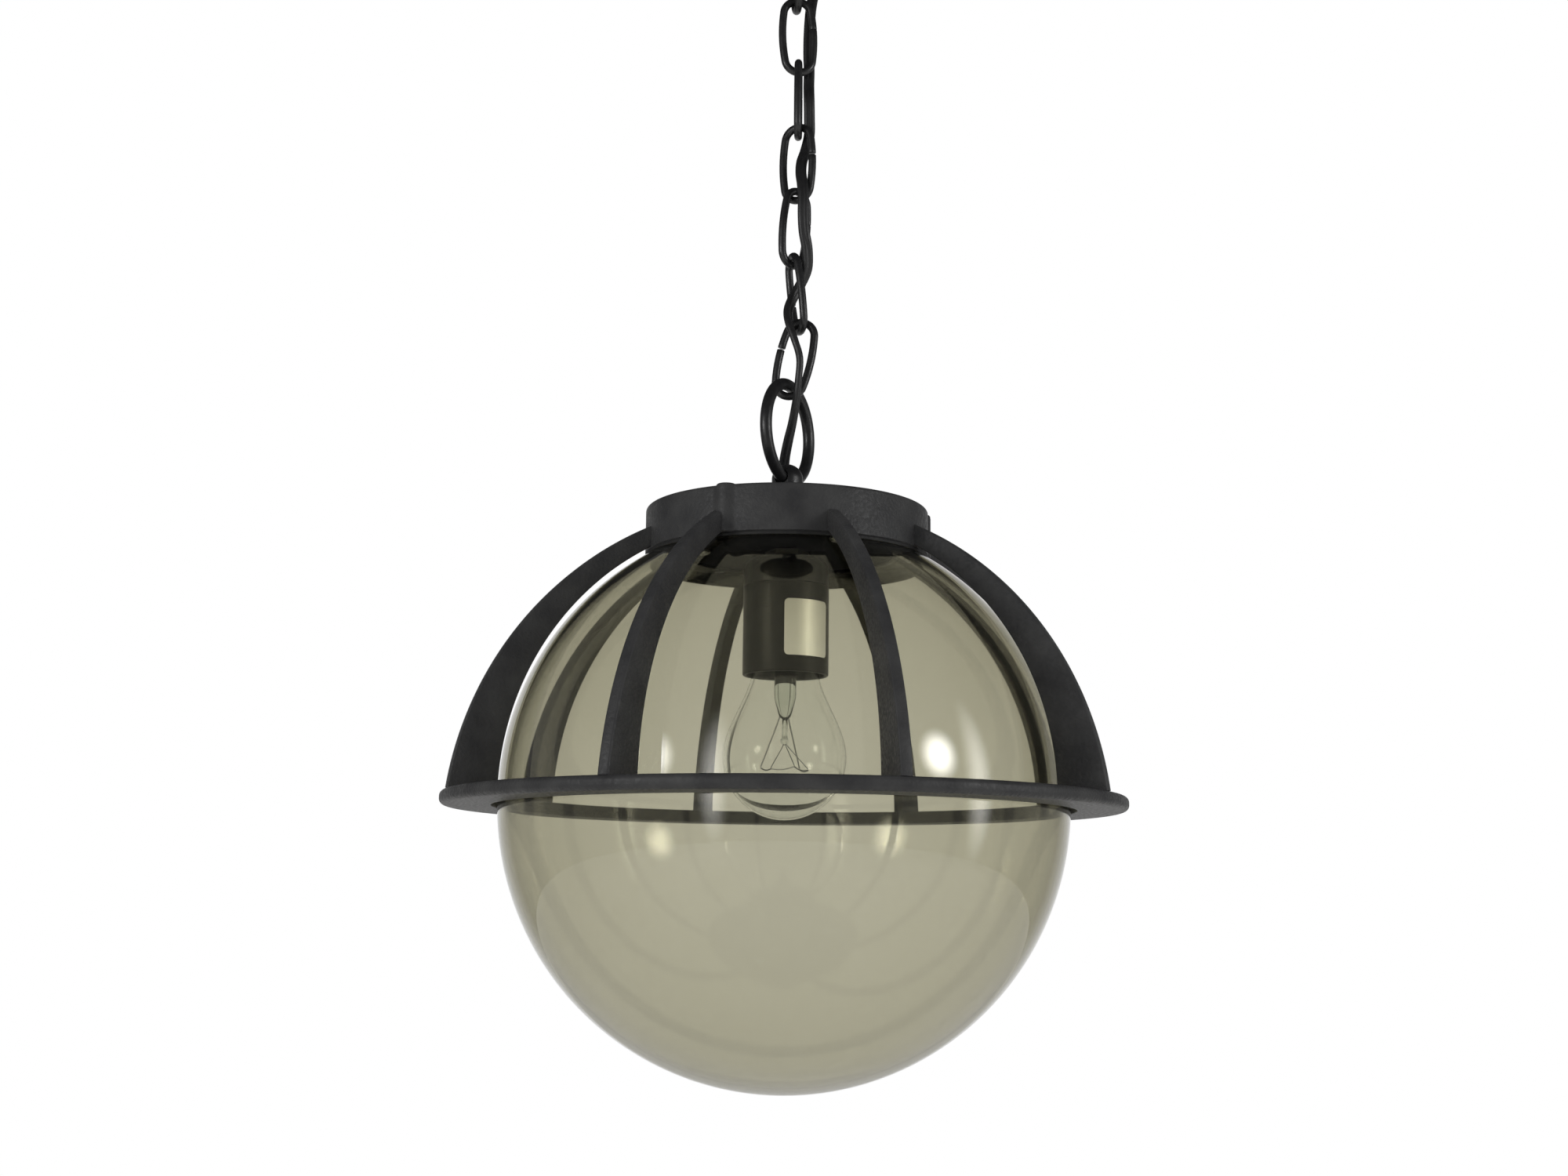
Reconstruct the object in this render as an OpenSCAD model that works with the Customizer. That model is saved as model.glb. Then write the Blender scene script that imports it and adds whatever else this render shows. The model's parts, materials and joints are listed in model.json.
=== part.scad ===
// Globe pendant light: a ribbed steel guard and smoked globe hung by a chain from a ceiling canopy.
// The origin is on the ceiling at the canopy's centre, and the light hangs along minus Z.

/* [Globe] */
// Outer radius of the globe
globe_r = 125; // [122:0.5:128]
// Wall of the globe
globe_wall = 3; // [2:0.5:4]
// How far the globe's neck is set in from the outside of the collar
neck_set = 12; // [11.5:0.5:14]
// Gap between the neck's top and the hood's top wall
neck_gap = 1.4; // [0.9:0.1:2.4]
// Drop of the globe for each turn of its thread
globe_pitch = 6; // [5.6:0.1:6.4]
// Height of the globe's thread above its neck
globe_thread_h = 1.6; // [1.2:0.1:1.8]
// Turns of the globe's thread
globe_turns = 1.1; // [1:0.05:1.15]

/* [Guard] */
// Gap between the globe and the ring's inner edge
ring_gap = 2.6; // [1.5:0.1:4]
// Width of the guard ring
ring_w = 22.1; // [19:0.1:26]
// Thickness of the guard ring
ring_t = 5.9; // [4:0.1:8]
// Depth of the ring's middle below the globe's centre
ring_sink = 0.7; // [0:0.1:2]
// Rounding of the ring's outer edge
ring_edge = 2.4; // [0.5:0.1:2.8]
// Number of ribs
ribs = 8;
// Azimuth of the first rib from the front, in degrees
rib_turn = 17.8; // [0:0.1:44]
// Thickness of a rib
rib_t = 5; // [3:0.5:7]
// Gap between the globe and a rib
rib_gap = 2; // [1:0.1:4]
// How far a rib's foot is set back from the ring's outer edge
foot_back = 1.3; // [0.6:0.1:8]
// Height of a rib's root on the collar
rib_root = 9.8; // [6:0.1:14]
// How much larger the radius of a rib's outer edge is than the globe's
rib_bulge = 27.2; // [18:0.1:45]

/* [Hood] */
// Outer radius of the collar
collar_r = 63.5; // [63:0.1:66]
// Wall of the hood
collar_wall = 3; // [2.5:0.1:3.2]
// Height of the collar's wall
collar_h = 20.8; // [20:0.1:24]
// Rounding of the hood's top edge
hood_edge = 1.5; // [0.5:0.1:2]
// Radius of a screw boss
boss_r = 4.5; // [4.2:0.1:5]
// How far a boss stands out of the collar
boss_out = 2; // [1:0.1:2.5]
// How far a boss stands above the hood
boss_up = 0.5; // [0.2:0.1:1]
// Azimuth of the first boss from the front, in degrees
boss_turn = -25; // [-40:1:-10]
// Height of the seal at its outer edge
seal_h = 1.8; // [1.2:0.1:2.5]
// Width of the seal
seal_w = 2.4; // [1:0.1:2.6]
// Gap between the gear plate and the inside of the neck
plate_gap = 1.5; // [0.8:0.1:4]
// Thickness of the gear plate
plate_t = 1.5; // [1:0.1:2]
// Distance from the hood's top wall to the gear plate
post_h = 13; // [12.5:0.1:13.5]
// Distance from the gear plate's edge to the middle of a post
post_in = 9; // [6:1:12]

/* [Suspension] */
// Radius of the eye on the hood
eye_r = 7.1; // [6.5:0.1:8]
// Height of the eye's hole above the hood
eye_hole_h = 14.8; // [13:0.1:18]
// Height of the dome's centre above the hole's centre
eye_dome_up = 0.4; // [0:0.1:2]
// Radius of the eye's hole
eye_hole_r = 3.35; // [3.3:0.05:3.6]
// Wire of the suspension ring
hoop_wire = 5.4; // [4.8:0.1:5.5]
// Radius of the suspension ring to the middle of its wire
hoop_r = 22.3; // [20:0.1:24]
// Turn of the suspension ring about the vertical, in degrees
hoop_turn = 64; // [55:1:70]
// Radius of the studs of the eye, the loop and the lampholder
stud_r = 4.95; // [4.5:0.05:5]
// Width of the nuts across their corners
nut_w = 19.6; // [18:0.1:21]
// Thickness of the canopy's nut
nut_t = 5.5; // [4:0.1:6]
// Thickness of the lock nuts in the hood
lock_t = 4; // [3.5:0.1:4.2]

/* [Chain] */
// Wire of a link
link_wire = 3.6; // [3:0.1:3.8]
// Length of a link's outline
link_l = 39.3; // [38:0.1:42]
// Width of a link's outline
link_w = 18.4; // [18:0.1:20]
// Radius of a link's bow to the middle of its wire
bow_r = 6.5; // [6.3:0.1:6.8]
// Clearance where two links bear
link_clear = 0.5; // [0.4:0.05:0.8]
// Height of the butt joint in a link's side
butt_h = 21.5; // [18:0.5:24]
// Width of the butt joint
butt_gap = 0.9; // [0.3:0.1:1.2]

/* [Canopy] */
// Outer radius of the canopy
canopy_r = 50; // [46:1:60]
// Height of the canopy
canopy_h = 28; // [27:0.5:34]
// Wall of the canopy
canopy_wall = 1.5; // [1:0.1:2]
// Rounding of the canopy's lower edge
canopy_edge = 6; // [3:0.5:8]
// Distance between the two ceiling screws
bracket_span = 64; // [60:1:72]
// Radius of a ceiling screw's hole
bracket_hole_r = 2.4; // [2:0.1:2.8]
// Width of the ceiling bracket
bracket_w = 16; // [14:0.5:18]
// Thickness of the ceiling bracket
bracket_t = 2; // [1.5:0.1:2.5]
// Depth of the bracket's bridge below the ceiling
bridge_h = 13; // [11:0.5:16]
// Wire of the canopy's loop
loop_wire = 5; // [4:0.1:5.4]
// Radius of the loop to the middle of its wire
loop_r = 9; // [8.5:0.1:12]
// Distance from the canopy to the middle of the loop
loop_drop = 18.5; // [16:0.05:24]

/* [Lampholder] */
// Outer radius of the lampholder
holder_r = 19.2; // [18.9:0.1:21]
// Wall of the lampholder's skirt
holder_wall = 1.8; // [1.2:0.1:2]
// Height of the skirt
skirt_h = 40; // [38:0.5:44]
// Height of the dome
dome_h = 13; // [12:0.5:15]
// Gap between the dome's top and the gear plate
dome_gap = 3.7; // [3.4:0.1:5]
// Pitch of the lamp thread
lamp_pitch = 3.629;
// Mean radius of the lamp thread
lamp_thread_r = 12.6;
// Half depth of the lamp thread
lamp_thread_a = 0.55;
// Clearance between the two lamp threads
lamp_clear = 0.45; // [0.4:0.05:0.6]
// Metal of the screw shells
shell_t = 0.4; // [0.3:0.05:0.5]
// Length of the label round the skirt, in degrees
label_arc = 68; // [40:1:90]
// Height of the label
label_h = 25; // [20:0.5:28]
// Thickness of the label
label_t = 0.15; // [0.1:0.05:0.3]

/* [Bulb] */
// Radius of the bulb
bulb_r = 27.4; // [26:0.1:30]
// Length of the bulb with its cap
bulb_l = 96.5; // [95:0.5:102]
// Height of the cap with its contact
bulb_cap_h = 25.5; // [24:0.1:26]
// Length of the cap's thread
bulb_thread_l = 17.5; // [16:0.1:18]
// Radius of the glass at the skirt's mouth
bulb_neck_r = 15; // [14:0.1:16]
// Wall of the bulb's glass
bulb_wall = 0.8; // [0.5:0.1:1]

/* [Flex] */
// Width of the flat flex
flex_w = 5.2; // [4:0.1:5.2]
// Thickness of the flat flex
flex_t = 3.2; // [2.4:0.1:3.2]
// Clearance of the flex in its bushes
bush_clear = 0.5; // [0.4:0.1:1]
// Flange of a bush round its hole
bush_flange = 1.6; // [1:0.1:2]

/* [Hidden] */
$fn = 64;
eps = 0.01;
run = 0.1;
seat = 0.3;

// Chain: each link's lean to the right, its turn about the vertical, and whether its butt joint is in its
// lower half and stands open
link_lean = [-4, -2, 0, 0, 4.2, -6.8, 12];
link_turn = [-82, 8, 88, -24, 42, 108, 172];
link_low = [false, false, false, false, false, true, false];
link_open = [false, false, false, true, false, true, true];
links = len(link_lean);
link_mid_l = link_l - link_wire;
bow_drop = link_wire + link_clear;
loop_low_z = -canopy_h - loop_drop - loop_r;
// A link's long axis, the normal of its plane and the way from a bow's centre to the bow's lowest point
function link_axis(i) = [sin(link_lean[i]), 0, cos(link_lean[i])];
function link_normal(i) = let (a = link_turn[i], b = link_lean[i])
    [-sin(a) * cos(b), cos(a), sin(a) * sin(b)];
function link_down(i) = let (n = link_normal(i), d = n[2] * n - [0, 0, 1]) d / norm(d);
// Centre of a link's lower bow, and the lowest point of the wire's middle there
function link_at(i) = (i == 0 ? [0, 0, loop_low_z + (loop_wire - link_wire) / 2] : link_bottom(i - 1))
    + [0, 0, bow_drop] + bow_r * link_down(i) - (link_mid_l - 2 * bow_r) * link_axis(i);
function link_bottom(i) = link_at(i) + bow_r * link_down(i);
hoop_top_z = link_bottom(links - 1)[2] + link_wire / 2 + link_clear + hoop_wire / 2;
hoop_z = hoop_top_z - hoop_r;
eye_hole_z = hoop_z - hoop_r;

// Hood and guard, with heights from the globe's centre
neck_r = collar_r - neck_set;
shoulder_z = sqrt(globe_r * globe_r - neck_r * neck_r);
collar_z = sqrt(globe_r * globe_r - collar_r * collar_r) + seal_h;
hood_z = collar_z + collar_h;
hood_under = hood_z - collar_wall;
neck_top = hood_under - neck_gap;
bore_r = collar_r - collar_wall;
globe_z = eye_hole_z - eye_hole_h - hood_z;
ring_top = ring_t / 2 - ring_sink;
ring_in = globe_r + ring_gap;
ring_r = ring_in + ring_w;
rib_in = globe_r + rib_gap;
rib_step = 360 / ribs;
rib_arc = globe_r + rib_bulge;
boss_count = 3;
boss_step = 360 / boss_count;
boss_at = collar_r + boss_out - boss_r;
boss_low = collar_z + 0.4;
rib_points = [[ring_r - foot_back, ring_top], [collar_r, collar_z + rib_root]];
rib_chord = rib_points[1] - rib_points[0];
rib_mid = (rib_points[0] + rib_points[1]) / 2;
rib_back = sqrt(rib_arc * rib_arc - rib_chord * rib_chord / 4);
rib_centre = rib_mid + [-rib_chord[1], rib_chord[0]] / norm(rib_chord) * rib_back;

// Gallery that the globe screws into
gallery_clear = 0.5;
gallery_r = bore_r - 0.2;
gallery_bore = neck_r + globe_thread_h + gallery_clear;
gallery_z = shoulder_z - 0.1;
gallery_top = hood_under - 3.9;
gallery_screw_r = 1.45;
gallery_head_r = 2.4;
gallery_head_h = 2.2;
gallery_screw_at = (gallery_r + gallery_bore) / 2;
thread_w = 2.8;
thread_crest = 1.4;
thread_root = 0.6;
thread_gap = 0.3;
gallery_thread_z = gallery_z + thread_w / 2;
globe_thread_z = gallery_thread_z + (thread_w + thread_crest) / 2 + thread_gap;

// Gear plate and lampholder
plate_r = neck_r - globe_wall - plate_gap;
plate_z = hood_under - post_h - plate_t;
post_circle = plate_r - post_in;
post_count = 3;
post_step = 360 / post_count;
post_r = 3;
post_turn = 35;
plate_screw_r = 1.5;
plate_head_r = 3.4;
plate_head_h = 1.8;
holder_top = plate_z - dome_gap;
dome_z = holder_top - dome_h;
skirt_z = dome_z - skirt_h;
holder_in = holder_r - holder_wall;
core_h = 5.5;
core_z = dome_z - core_h - 0.1;
bulb_tip = core_z - 1.8;
bulb_z = bulb_tip - bulb_l + bulb_r;
cap_z = bulb_tip - bulb_cap_h;
cap_r = lamp_thread_r - lamp_thread_a;
insulator_h = 4;
contact_h = 0.8;
contact_r = 4.8;
thread_top = bulb_tip - contact_h - insulator_h;
shell_z = thread_top - bulb_thread_l + 1;
shell_in = lamp_thread_r + lamp_clear;
core_bore = shell_in + lamp_thread_a + shell_t + 0.3;
label_turn = 32;
label_z = skirt_z + 7;

// Bushes, nuts and wires
bush_hole = flex_w / 2 + bush_clear;
bush_r = bush_hole + 1.8;
bush_at = [0, 17];
canopy_bush_at = [14, 16];
washer_gap = 0.02;
core_wire_r = 1.1;
block_size = [26, 16, 9];
block_hole_h = 4;
block_back = 3;
well_r = 2.1;
function well_at(s) = [canopy_bush_at[0] + s * 6.5, canopy_bush_at[1] + block_back, canopy_floor + 6];
canopy_floor = -canopy_h + canopy_wall;
grip_size = [16, 10, 7];

// Route of the flex, from the cord grip in the hood to the terminal block in the canopy. Each point has its
// x, y, height and the turn of the flat side about the vertical
flex_points = [
    [0, 17, -339.4, 0], [0, 17, -330, 0], [-0.5, 16.5, -321, 10], [-1.5, 13.5, -312, 25],
    [-1.5, 9, -304, 40], [0, 4, -296, 55], [2, -1.5, -288, 70], [3.5, -6, -279.5, 80],
    [4.5, -9, -270, 90], [5, -10, -260, 90], [2.5, -10, -251, 80], [0, -8, -243, 70],
    [-0.5, -4, -236, 60], [1.5, -0.5, -229, 50], [5, 0.5, -222, 40], [8, -2, -215, 30],
    [8, -5.5, -207, 15], [6.5, -8, -199, 0], [6, -9, -191, 0], [6, -9, -183, 0],
    [5.5, -7.5, -176, 0], [4.8, -3.5, -169, 0], [5.2, 0.5, -162, 0], [7, 4, -155, 0],
    [8.6, 5, -147, 0], [8.6, 4, -139, 0], [8.4, 2.8, -131, 0], [8.2, 4.2, -123, 0],
    [8.3, 5, -115, 0], [8, 5.2, -107, 0], [8, 5.2, -99, 0], [8.3, 5.4, -91, 0],
    [9, 6.5, -82, 0], [10.5, 9, -72, 0], [12.5, 13, -60, 0], [13.8, 15.5, -48, 0],
    [14, 16, -38, 0], [14, 16, -30, 0], [14, 16, -22.5, 0]
];
flex_sides = 8;

function polar(r, a) = [r * cos(a), r * sin(a)];

module at_azimuth(a) {
    rotate([0, 0, a - 90]) children();
}

module disc(r, z0, z1) {
    translate([0, 0, z0]) cylinder(r = r, h = z1 - z0);
}

module tube(r, bore, z0, z1) {
    difference() {
        disc(r, z0, z1);
        disc(bore, z0 - 1, z1 + 1);
    }
}

// A closed strip of square cells between rings of points, with both ends capped
module skin(rings) {
    n = len(rings[0]);
    m = len(rings);
    sides = [for (k = [0 : m - 2]) for (j = [0 : n - 1])
        each [[k * n + j, (k + 1) * n + j, k * n + (j + 1) % n],
              [k * n + (j + 1) % n, (k + 1) * n + j, (k + 1) * n + (j + 1) % n]]];
    polyhedron(points = [for (ring = rings) each ring],
        faces = concat([[for (j = [0 : n - 1]) j]], sides, [[for (j = [n - 1 : -1 : 0]) (m - 1) * n + j]]),
        convexity = 6);
}

// A ridge wound round the axis. Its root is at radius r0 and its crest at r1
module wound_ridge(r0, r1, z0, turns, pitch, root_w, crest_w) {
    steps = ceil(turns * 36);
    rings = [for (k = [0 : steps])
        let (a = 360 * turns * k / steps, z = z0 + pitch * a / 360)
        [for (p = [[r0, -root_w / 2], [r0, root_w / 2], [r1, crest_w / 2], [r1, -crest_w / 2]])
            [p[0] * cos(a), p[0] * sin(a), z + p[1]]]];
    flip = r1 < r0;
    skin(flip ? [for (k = [steps : -1 : 0]) rings[k]] : rings);
}

// A sheet metal shell with a rolled thread, which runs out to its root over the given length at both ends,
// and a plain skirt below it
module thread_shell(r, wall, z0, z1, runout, skirt) {
    around = 24;
    rows = ceil((z1 - z0) / lamp_pitch * 5);
    function fade(z) = runout > 0 ? max(0, min(1, (z - z0) / runout, (z1 - z) / runout)) : 1;
    function wave(a, z) = lamp_thread_a * ((1 + cos(360 * z / lamp_pitch - a)) * fade(z) - 1);
    function ring(rr, z) = [for (j = [0 : around - 1])
        let (a = 360 * j / around) concat(polar(rr + wave(a, z), a), z)];
    threaded = [for (k = [0 : rows]) z0 + (z1 - z0) * k / rows];
    heights = skirt > 0 ? concat(z0 - skirt, threaded) : threaded;
    top = len(heights) - 1;
    loop = concat([for (z = heights) ring(r + wall, z)], [for (k = [top : -1 : 0]) ring(r, heights[k])]);
    m = len(loop);
    polyhedron(points = [for (row = loop) each row],
        faces = [for (k = [0 : m - 1]) for (j = [0 : around - 1])
            let (a = k * around + j, b = ((k + 1) % m) * around + j,
                 c = k * around + (j + 1) % around, d = ((k + 1) % m) * around + (j + 1) % around)
            each [[a, b, c], [c, b, d]]],
        convexity = 10);
}

module hex_nut(bore, z0, z1) {
    difference() {
        translate([0, 0, z0]) cylinder(r = nut_w / 2, h = z1 - z0, $fn = 6);
        disc(bore, z0 - 1, z1 + 1);
    }
}

// Ceiling parts
module ceiling_bracket() {
    foot_out = 10;
    knee_in = 8;
    foot = bracket_span / 2 + foot_out;
    knee = bracket_span / 2 - knee_in;
    color("silver") difference() {
        rotate([90, 0, 0]) linear_extrude(bracket_w, center = true) difference() {
            translate([-foot, -bridge_h]) square([2 * foot, bridge_h]);
            translate([-knee + bracket_t, -bridge_h + bracket_t])
                square([2 * (knee - bracket_t), bridge_h]);
            for (s = [-1, 1]) translate([s > 0 ? knee : -foot - eps, -bridge_h - eps])
                square([foot - knee + eps, bridge_h - bracket_t + eps]);
        }
        for (s = [-1, 1]) translate([s * bracket_span / 2, 0, 0]) disc(bracket_hole_r, -bracket_t - 1, 1);
        disc(stud_r + run, -bridge_h - 1, -bridge_h + bracket_t + 1);
    }
}

module canopy() {
    color("#2b2c2d") difference() {
        rotate_extrude() difference() {
            union() {
                translate([0, -canopy_h]) square([canopy_r - canopy_edge, canopy_h]);
                translate([0, -canopy_h + canopy_edge]) square([canopy_r, canopy_h - canopy_edge]);
                translate([canopy_r - canopy_edge, -canopy_h + canopy_edge]) circle(canopy_edge);
            }
            translate([-eps, canopy_floor]) square([canopy_r - canopy_edge + eps, canopy_h]);
            translate([-eps, -canopy_h + canopy_edge]) square([canopy_r - canopy_wall + eps, canopy_h]);
            translate([canopy_r - canopy_edge, -canopy_h + canopy_edge])
                circle(canopy_edge - canopy_wall);
            translate([-canopy_r, -canopy_h - 1]) square([canopy_r, canopy_h + 2]);
        }
        disc(stud_r + run, -canopy_h - 1, canopy_floor + 1);
        translate(concat(canopy_bush_at, 0)) disc(bush_r + washer_gap, -canopy_h - 1, canopy_floor + 1);
    }
}

module canopy_loop() {
    hub_r = 8.5;
    hub_h = 5;
    loop_z = -canopy_h - loop_drop;
    color("#2b2c2d") {
        disc(stud_r, -canopy_h, -bridge_h + bracket_t + nut_t + 2);
        translate([0, 0, -canopy_h - hub_h]) cylinder(r = hub_r, h = hub_h);
        disc(loop_wire / 2, loop_z + loop_r - eps, -canopy_h - hub_h + eps);
        translate([0, 0, loop_z]) rotate([90, 0, 0]) rotate_extrude() translate([loop_r, 0])
            circle(loop_wire / 2);
    }
}

module canopy_nut() {
    base = -bridge_h + bracket_t + washer_gap;
    color("silver") hex_nut(stud_r + washer_gap, base, base + nut_t);
}

// A rubber bush in a wall, with a flange on each side
module bush(z0, z1) {
    color("#1c1c1c") difference() {
        union() {
            disc(bush_r, z0 - bush_flange, z1 + bush_flange);
            disc(bush_r + bush_flange, z0 - bush_flange, z0 - washer_gap);
            disc(bush_r + bush_flange, z1 + washer_gap, z1 + bush_flange);
        }
        disc(bush_hole, z0 - 5, z1 + 5);
    }
}

module canopy_bush() {
    translate(concat(canopy_bush_at, 0)) bush(-canopy_h, canopy_floor);
}

module terminal_block() {
    at = canopy_bush_at + [-block_size[0] / 2, block_back - block_size[1] / 2];
    color("#e8e4d8") difference() {
        translate([at[0], at[1], canopy_floor + washer_gap]) cube(block_size);
        translate(concat(canopy_bush_at, canopy_floor - 1))
            cylinder(r = bush_r + bush_flange + seat, h = 1 + bush_flange + seat);
        translate(concat(canopy_bush_at, canopy_floor)) cylinder(r = bush_hole, h = block_hole_h);
        for (s = [-1, 1]) translate(well_at(s)) cylinder(r = well_r, h = block_size[2]);
    }
}

module terminal_screws() {
    head_h = 2.2;
    slot = [4, 0.6, 1];
    color("#c9a24d") for (s = [-1, 1]) translate(well_at(s)) difference() {
        cylinder(r = well_r - 0.2, h = head_h);
        translate([-slot[0] / 2, -slot[1] / 2, head_h - 0.8]) cube(slot);
    }
}

// Chain
// A link in the XZ plane with the middle of its lower bow at the origin. Its sides are shallow arcs, and
// one side is cut through at the butt joint, where the wire starts and ends
link_sides = 12;
closed_gap = 0.2;
link_half = link_mid_l / 2;
link_side = (link_w - link_wire) / 2;
bow_up = link_half - bow_r;
side_r = (link_side * link_side + bow_up * bow_up - bow_r * bow_r) / (2 * (link_side - bow_r));
side_turn = atan2(bow_up, side_r - link_side);

// Rings of the wire along one arc, given its centre, radius, first and last angle and steps
function wire_rings(arc, first) = [for (k = [first : arc[4]])
    let (a = arc[2] + (arc[3] - arc[2]) * k / arc[4])
    [for (j = [0 : link_sides - 1])
        let (b = 360 * (j + 0.5) / link_sides, r = arc[1] + link_wire / 2 * cos(b))
        [arc[0][0] + r * cos(a), link_wire / 2 * sin(b), arc[0][1] + r * sin(a)]]];

module link_shape(low, gap) {
    butt = asin((low ? link_half - butt_h : butt_h - link_half) / side_r);
    half_gap = gap / 2 / side_r * 180 / PI;
    right = [link_side - side_r, link_half];
    arcs = [
        [right, side_r, butt + half_gap, side_turn, 4],
        [[0, link_half + bow_up], bow_r, side_turn, 180 - side_turn, 14],
        [[side_r - link_side, link_half], side_r, 180 - side_turn, 180 + side_turn, 8],
        [[0, link_half - bow_up], bow_r, 180 + side_turn, 360 - side_turn, 14],
        [right, side_r, -side_turn, butt - half_gap, 4]
    ];
    skin([for (k = [0 : len(arcs) - 1]) each wire_rings(arcs[k], k == 0 ? 0 : 1)]);
}

module chain_link(i) {
    color("#262626") translate(link_at(i)) rotate([0, link_lean[i], 0]) translate([0, 0, -bow_r])
        rotate([0, 0, link_turn[i]]) link_shape(link_low[i], link_open[i] ? butt_gap : closed_gap);
}

module suspension_ring() {
    color("#262626") translate([0, 0, hoop_z]) rotate([90, 0, hoop_turn]) rotate_extrude()
        translate([hoop_r, 0]) circle(hoop_wire / 2);
}

// Everything below is drawn with the globe's centre at height 0 and then hung
module hang() {
    translate([0, 0, globe_z]) children();
}

module suspension_eye() {
    hole_z = hood_z + eye_hole_h;
    dome_top_z = hole_z + eye_dome_up;
    color("#262626") hang() difference() {
        union() {
            disc(eye_r, hood_z + washer_gap, dome_top_z);
            translate([0, 0, dome_top_z]) sphere(r = eye_r);
            disc(stud_r, hood_under - lock_t - 0.5, hood_z + washer_gap + eps);
        }
        translate([0, 0, hole_z + hoop_r - 0.25]) rotate([90, 0, hoop_turn]) rotate_extrude()
            translate([hoop_r, 0]) circle(eye_hole_r);
    }
}

// Places a form at every screw boss or every post
module at_bosses(r) {
    for (k = [0 : boss_count - 1]) at_azimuth(boss_turn + boss_step * k) translate([r, 0, 0]) children();
}

module at_posts() {
    for (k = [0 : post_count - 1]) at_azimuth(post_turn + post_step * k)
        translate([post_circle, 0, 0]) children();
}

module eye_nut() {
    color("silver") hang()
        hex_nut(stud_r + washer_gap, hood_under - washer_gap - lock_t, hood_under - washer_gap);
}

module hood() {
    color("#2e2f30") hang() difference() {
        union() {
            rotate_extrude() {
                translate([0, collar_z]) square([collar_r, collar_h - hood_edge]);
                translate([0, collar_z]) square([collar_r - hood_edge, collar_h]);
                intersection() {
                    translate([collar_r - hood_edge, hood_z - hood_edge]) circle(hood_edge);
                    translate([0, collar_z]) square([collar_r, collar_h]);
                }
            }
            at_bosses(boss_at) disc(boss_r, boss_low, hood_z + boss_up);
        }
        disc(bore_r, collar_z - 1, gallery_top + 0.2);
        difference() {
            disc(bore_r, gallery_top + 0.1, hood_under);
            at_bosses(boss_at) disc(boss_r + boss_out, gallery_top, hood_under + 1);
        }
        at_bosses(gallery_screw_at) disc(gallery_screw_r + washer_gap, collar_z, hood_under + 0.5);
        disc(stud_r + run, hood_under - 1, hood_z + 1);
        translate(concat(bush_at, 0)) disc(bush_r + washer_gap, hood_under - 1, hood_z + 1);
    }
}

module hood_bush() {
    hang() translate(concat(bush_at, 0)) bush(hood_under, hood_z);
}

module cord_grip() {
    top = hood_under - washer_gap;
    color("#e6e2d6") hang() difference() {
        translate([-grip_size[0] / 2, bush_at[1] - grip_size[1] / 2, top - grip_size[2]]) cube(grip_size);
        translate(concat(bush_at, 0)) {
            disc(bush_r + bush_flange + seat, top - bush_flange - seat, top + 1);
            disc(bush_hole, top - grip_size[2] - 1, top);
        }
    }
}

module guard_ring() {
    color("#2e2f30") hang() rotate_extrude() {
        translate([ring_in, ring_top - ring_t]) square([ring_r - ring_in - ring_edge, ring_t]);
        translate([ring_in, ring_top - ring_t + ring_edge])
            square([ring_r - ring_in, ring_t - 2 * ring_edge]);
        for (z = [ring_top - ring_edge, ring_top - ring_t + ring_edge])
            translate([ring_r - ring_edge, z]) circle(ring_edge);
    }
}

// A flat rib cut from plate. Its inner edge follows the globe, and it stops at the collar and its bosses
module rib(k) {
    color("#2e2f30") hang() difference() {
        at_azimuth(rib_turn + rib_step * (k - 1)) rotate([90, 0, 0]) linear_extrude(rib_t, center = true)
            difference() {
                intersection() {
                    translate(rib_centre) circle(rib_arc, $fn = 180);
                    translate([0, ring_top]) square([2 * ring_r, hood_z]);
                }
                circle(rib_in, $fn = 180);
                square([collar_r - 1, hood_z]);
            }
        disc(collar_r + washer_gap, 0, 2 * hood_z);
        at_bosses(boss_at) disc(boss_r + washer_gap, 0, 2 * hood_z);
    }
}

module gallery_ring() {
    color("#b9bcbe") hang() difference() {
        union() {
            tube(gallery_r, gallery_bore, gallery_z, gallery_top);
            wound_ridge(gallery_bore + thread_root, neck_r + gallery_clear, gallery_thread_z,
                globe_turns, globe_pitch, thread_w, thread_crest);
        }
        at_bosses(gallery_screw_at) {
            disc(gallery_screw_r + run, gallery_z - 1, gallery_top + 1);
            disc(gallery_head_r + 0.2, gallery_z - 1, gallery_z + gallery_head_h + 0.2);
        }
    }
}

module gallery_screws() {
    seat_z = gallery_z + gallery_head_h + 0.2;
    color("silver") hang() at_bosses(gallery_screw_at) difference() {
        union() {
            disc(gallery_screw_r, seat_z - 0.5, hood_under - 0.5);
            disc(gallery_head_r, seat_z - gallery_head_h, seat_z - washer_gap);
        }
        translate([-gallery_head_r, -0.3, seat_z - gallery_head_h - 1])
            cube([2 * gallery_head_r, 0.6, 1.8]);
    }
}

module globe_seal() {
    color("#141414") hang() rotate_extrude() difference() {
        translate([collar_r - seal_w, collar_z - 2 * seal_h]) square([seal_w, 2 * seal_h - washer_gap]);
        circle(globe_r + washer_gap, $fn = 180);
    }
}

module globe() {
    color([0.72, 0.72, 0.64, 0.45]) hang() {
        rotate_extrude($fn = 180) difference() {
            union() {
                circle(globe_r);
                square([neck_r, neck_top]);
            }
            circle(globe_r - globe_wall);
            translate([-1, 0]) square([neck_r - globe_wall + 1, neck_top + 1]);
            translate([-2 * globe_r, -2 * globe_r]) square([2 * globe_r, 4 * globe_r]);
        }
        wound_ridge(neck_r - thread_root, neck_r + globe_thread_h, globe_thread_z,
            globe_turns, globe_pitch, thread_w, thread_crest);
    }
}

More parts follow.
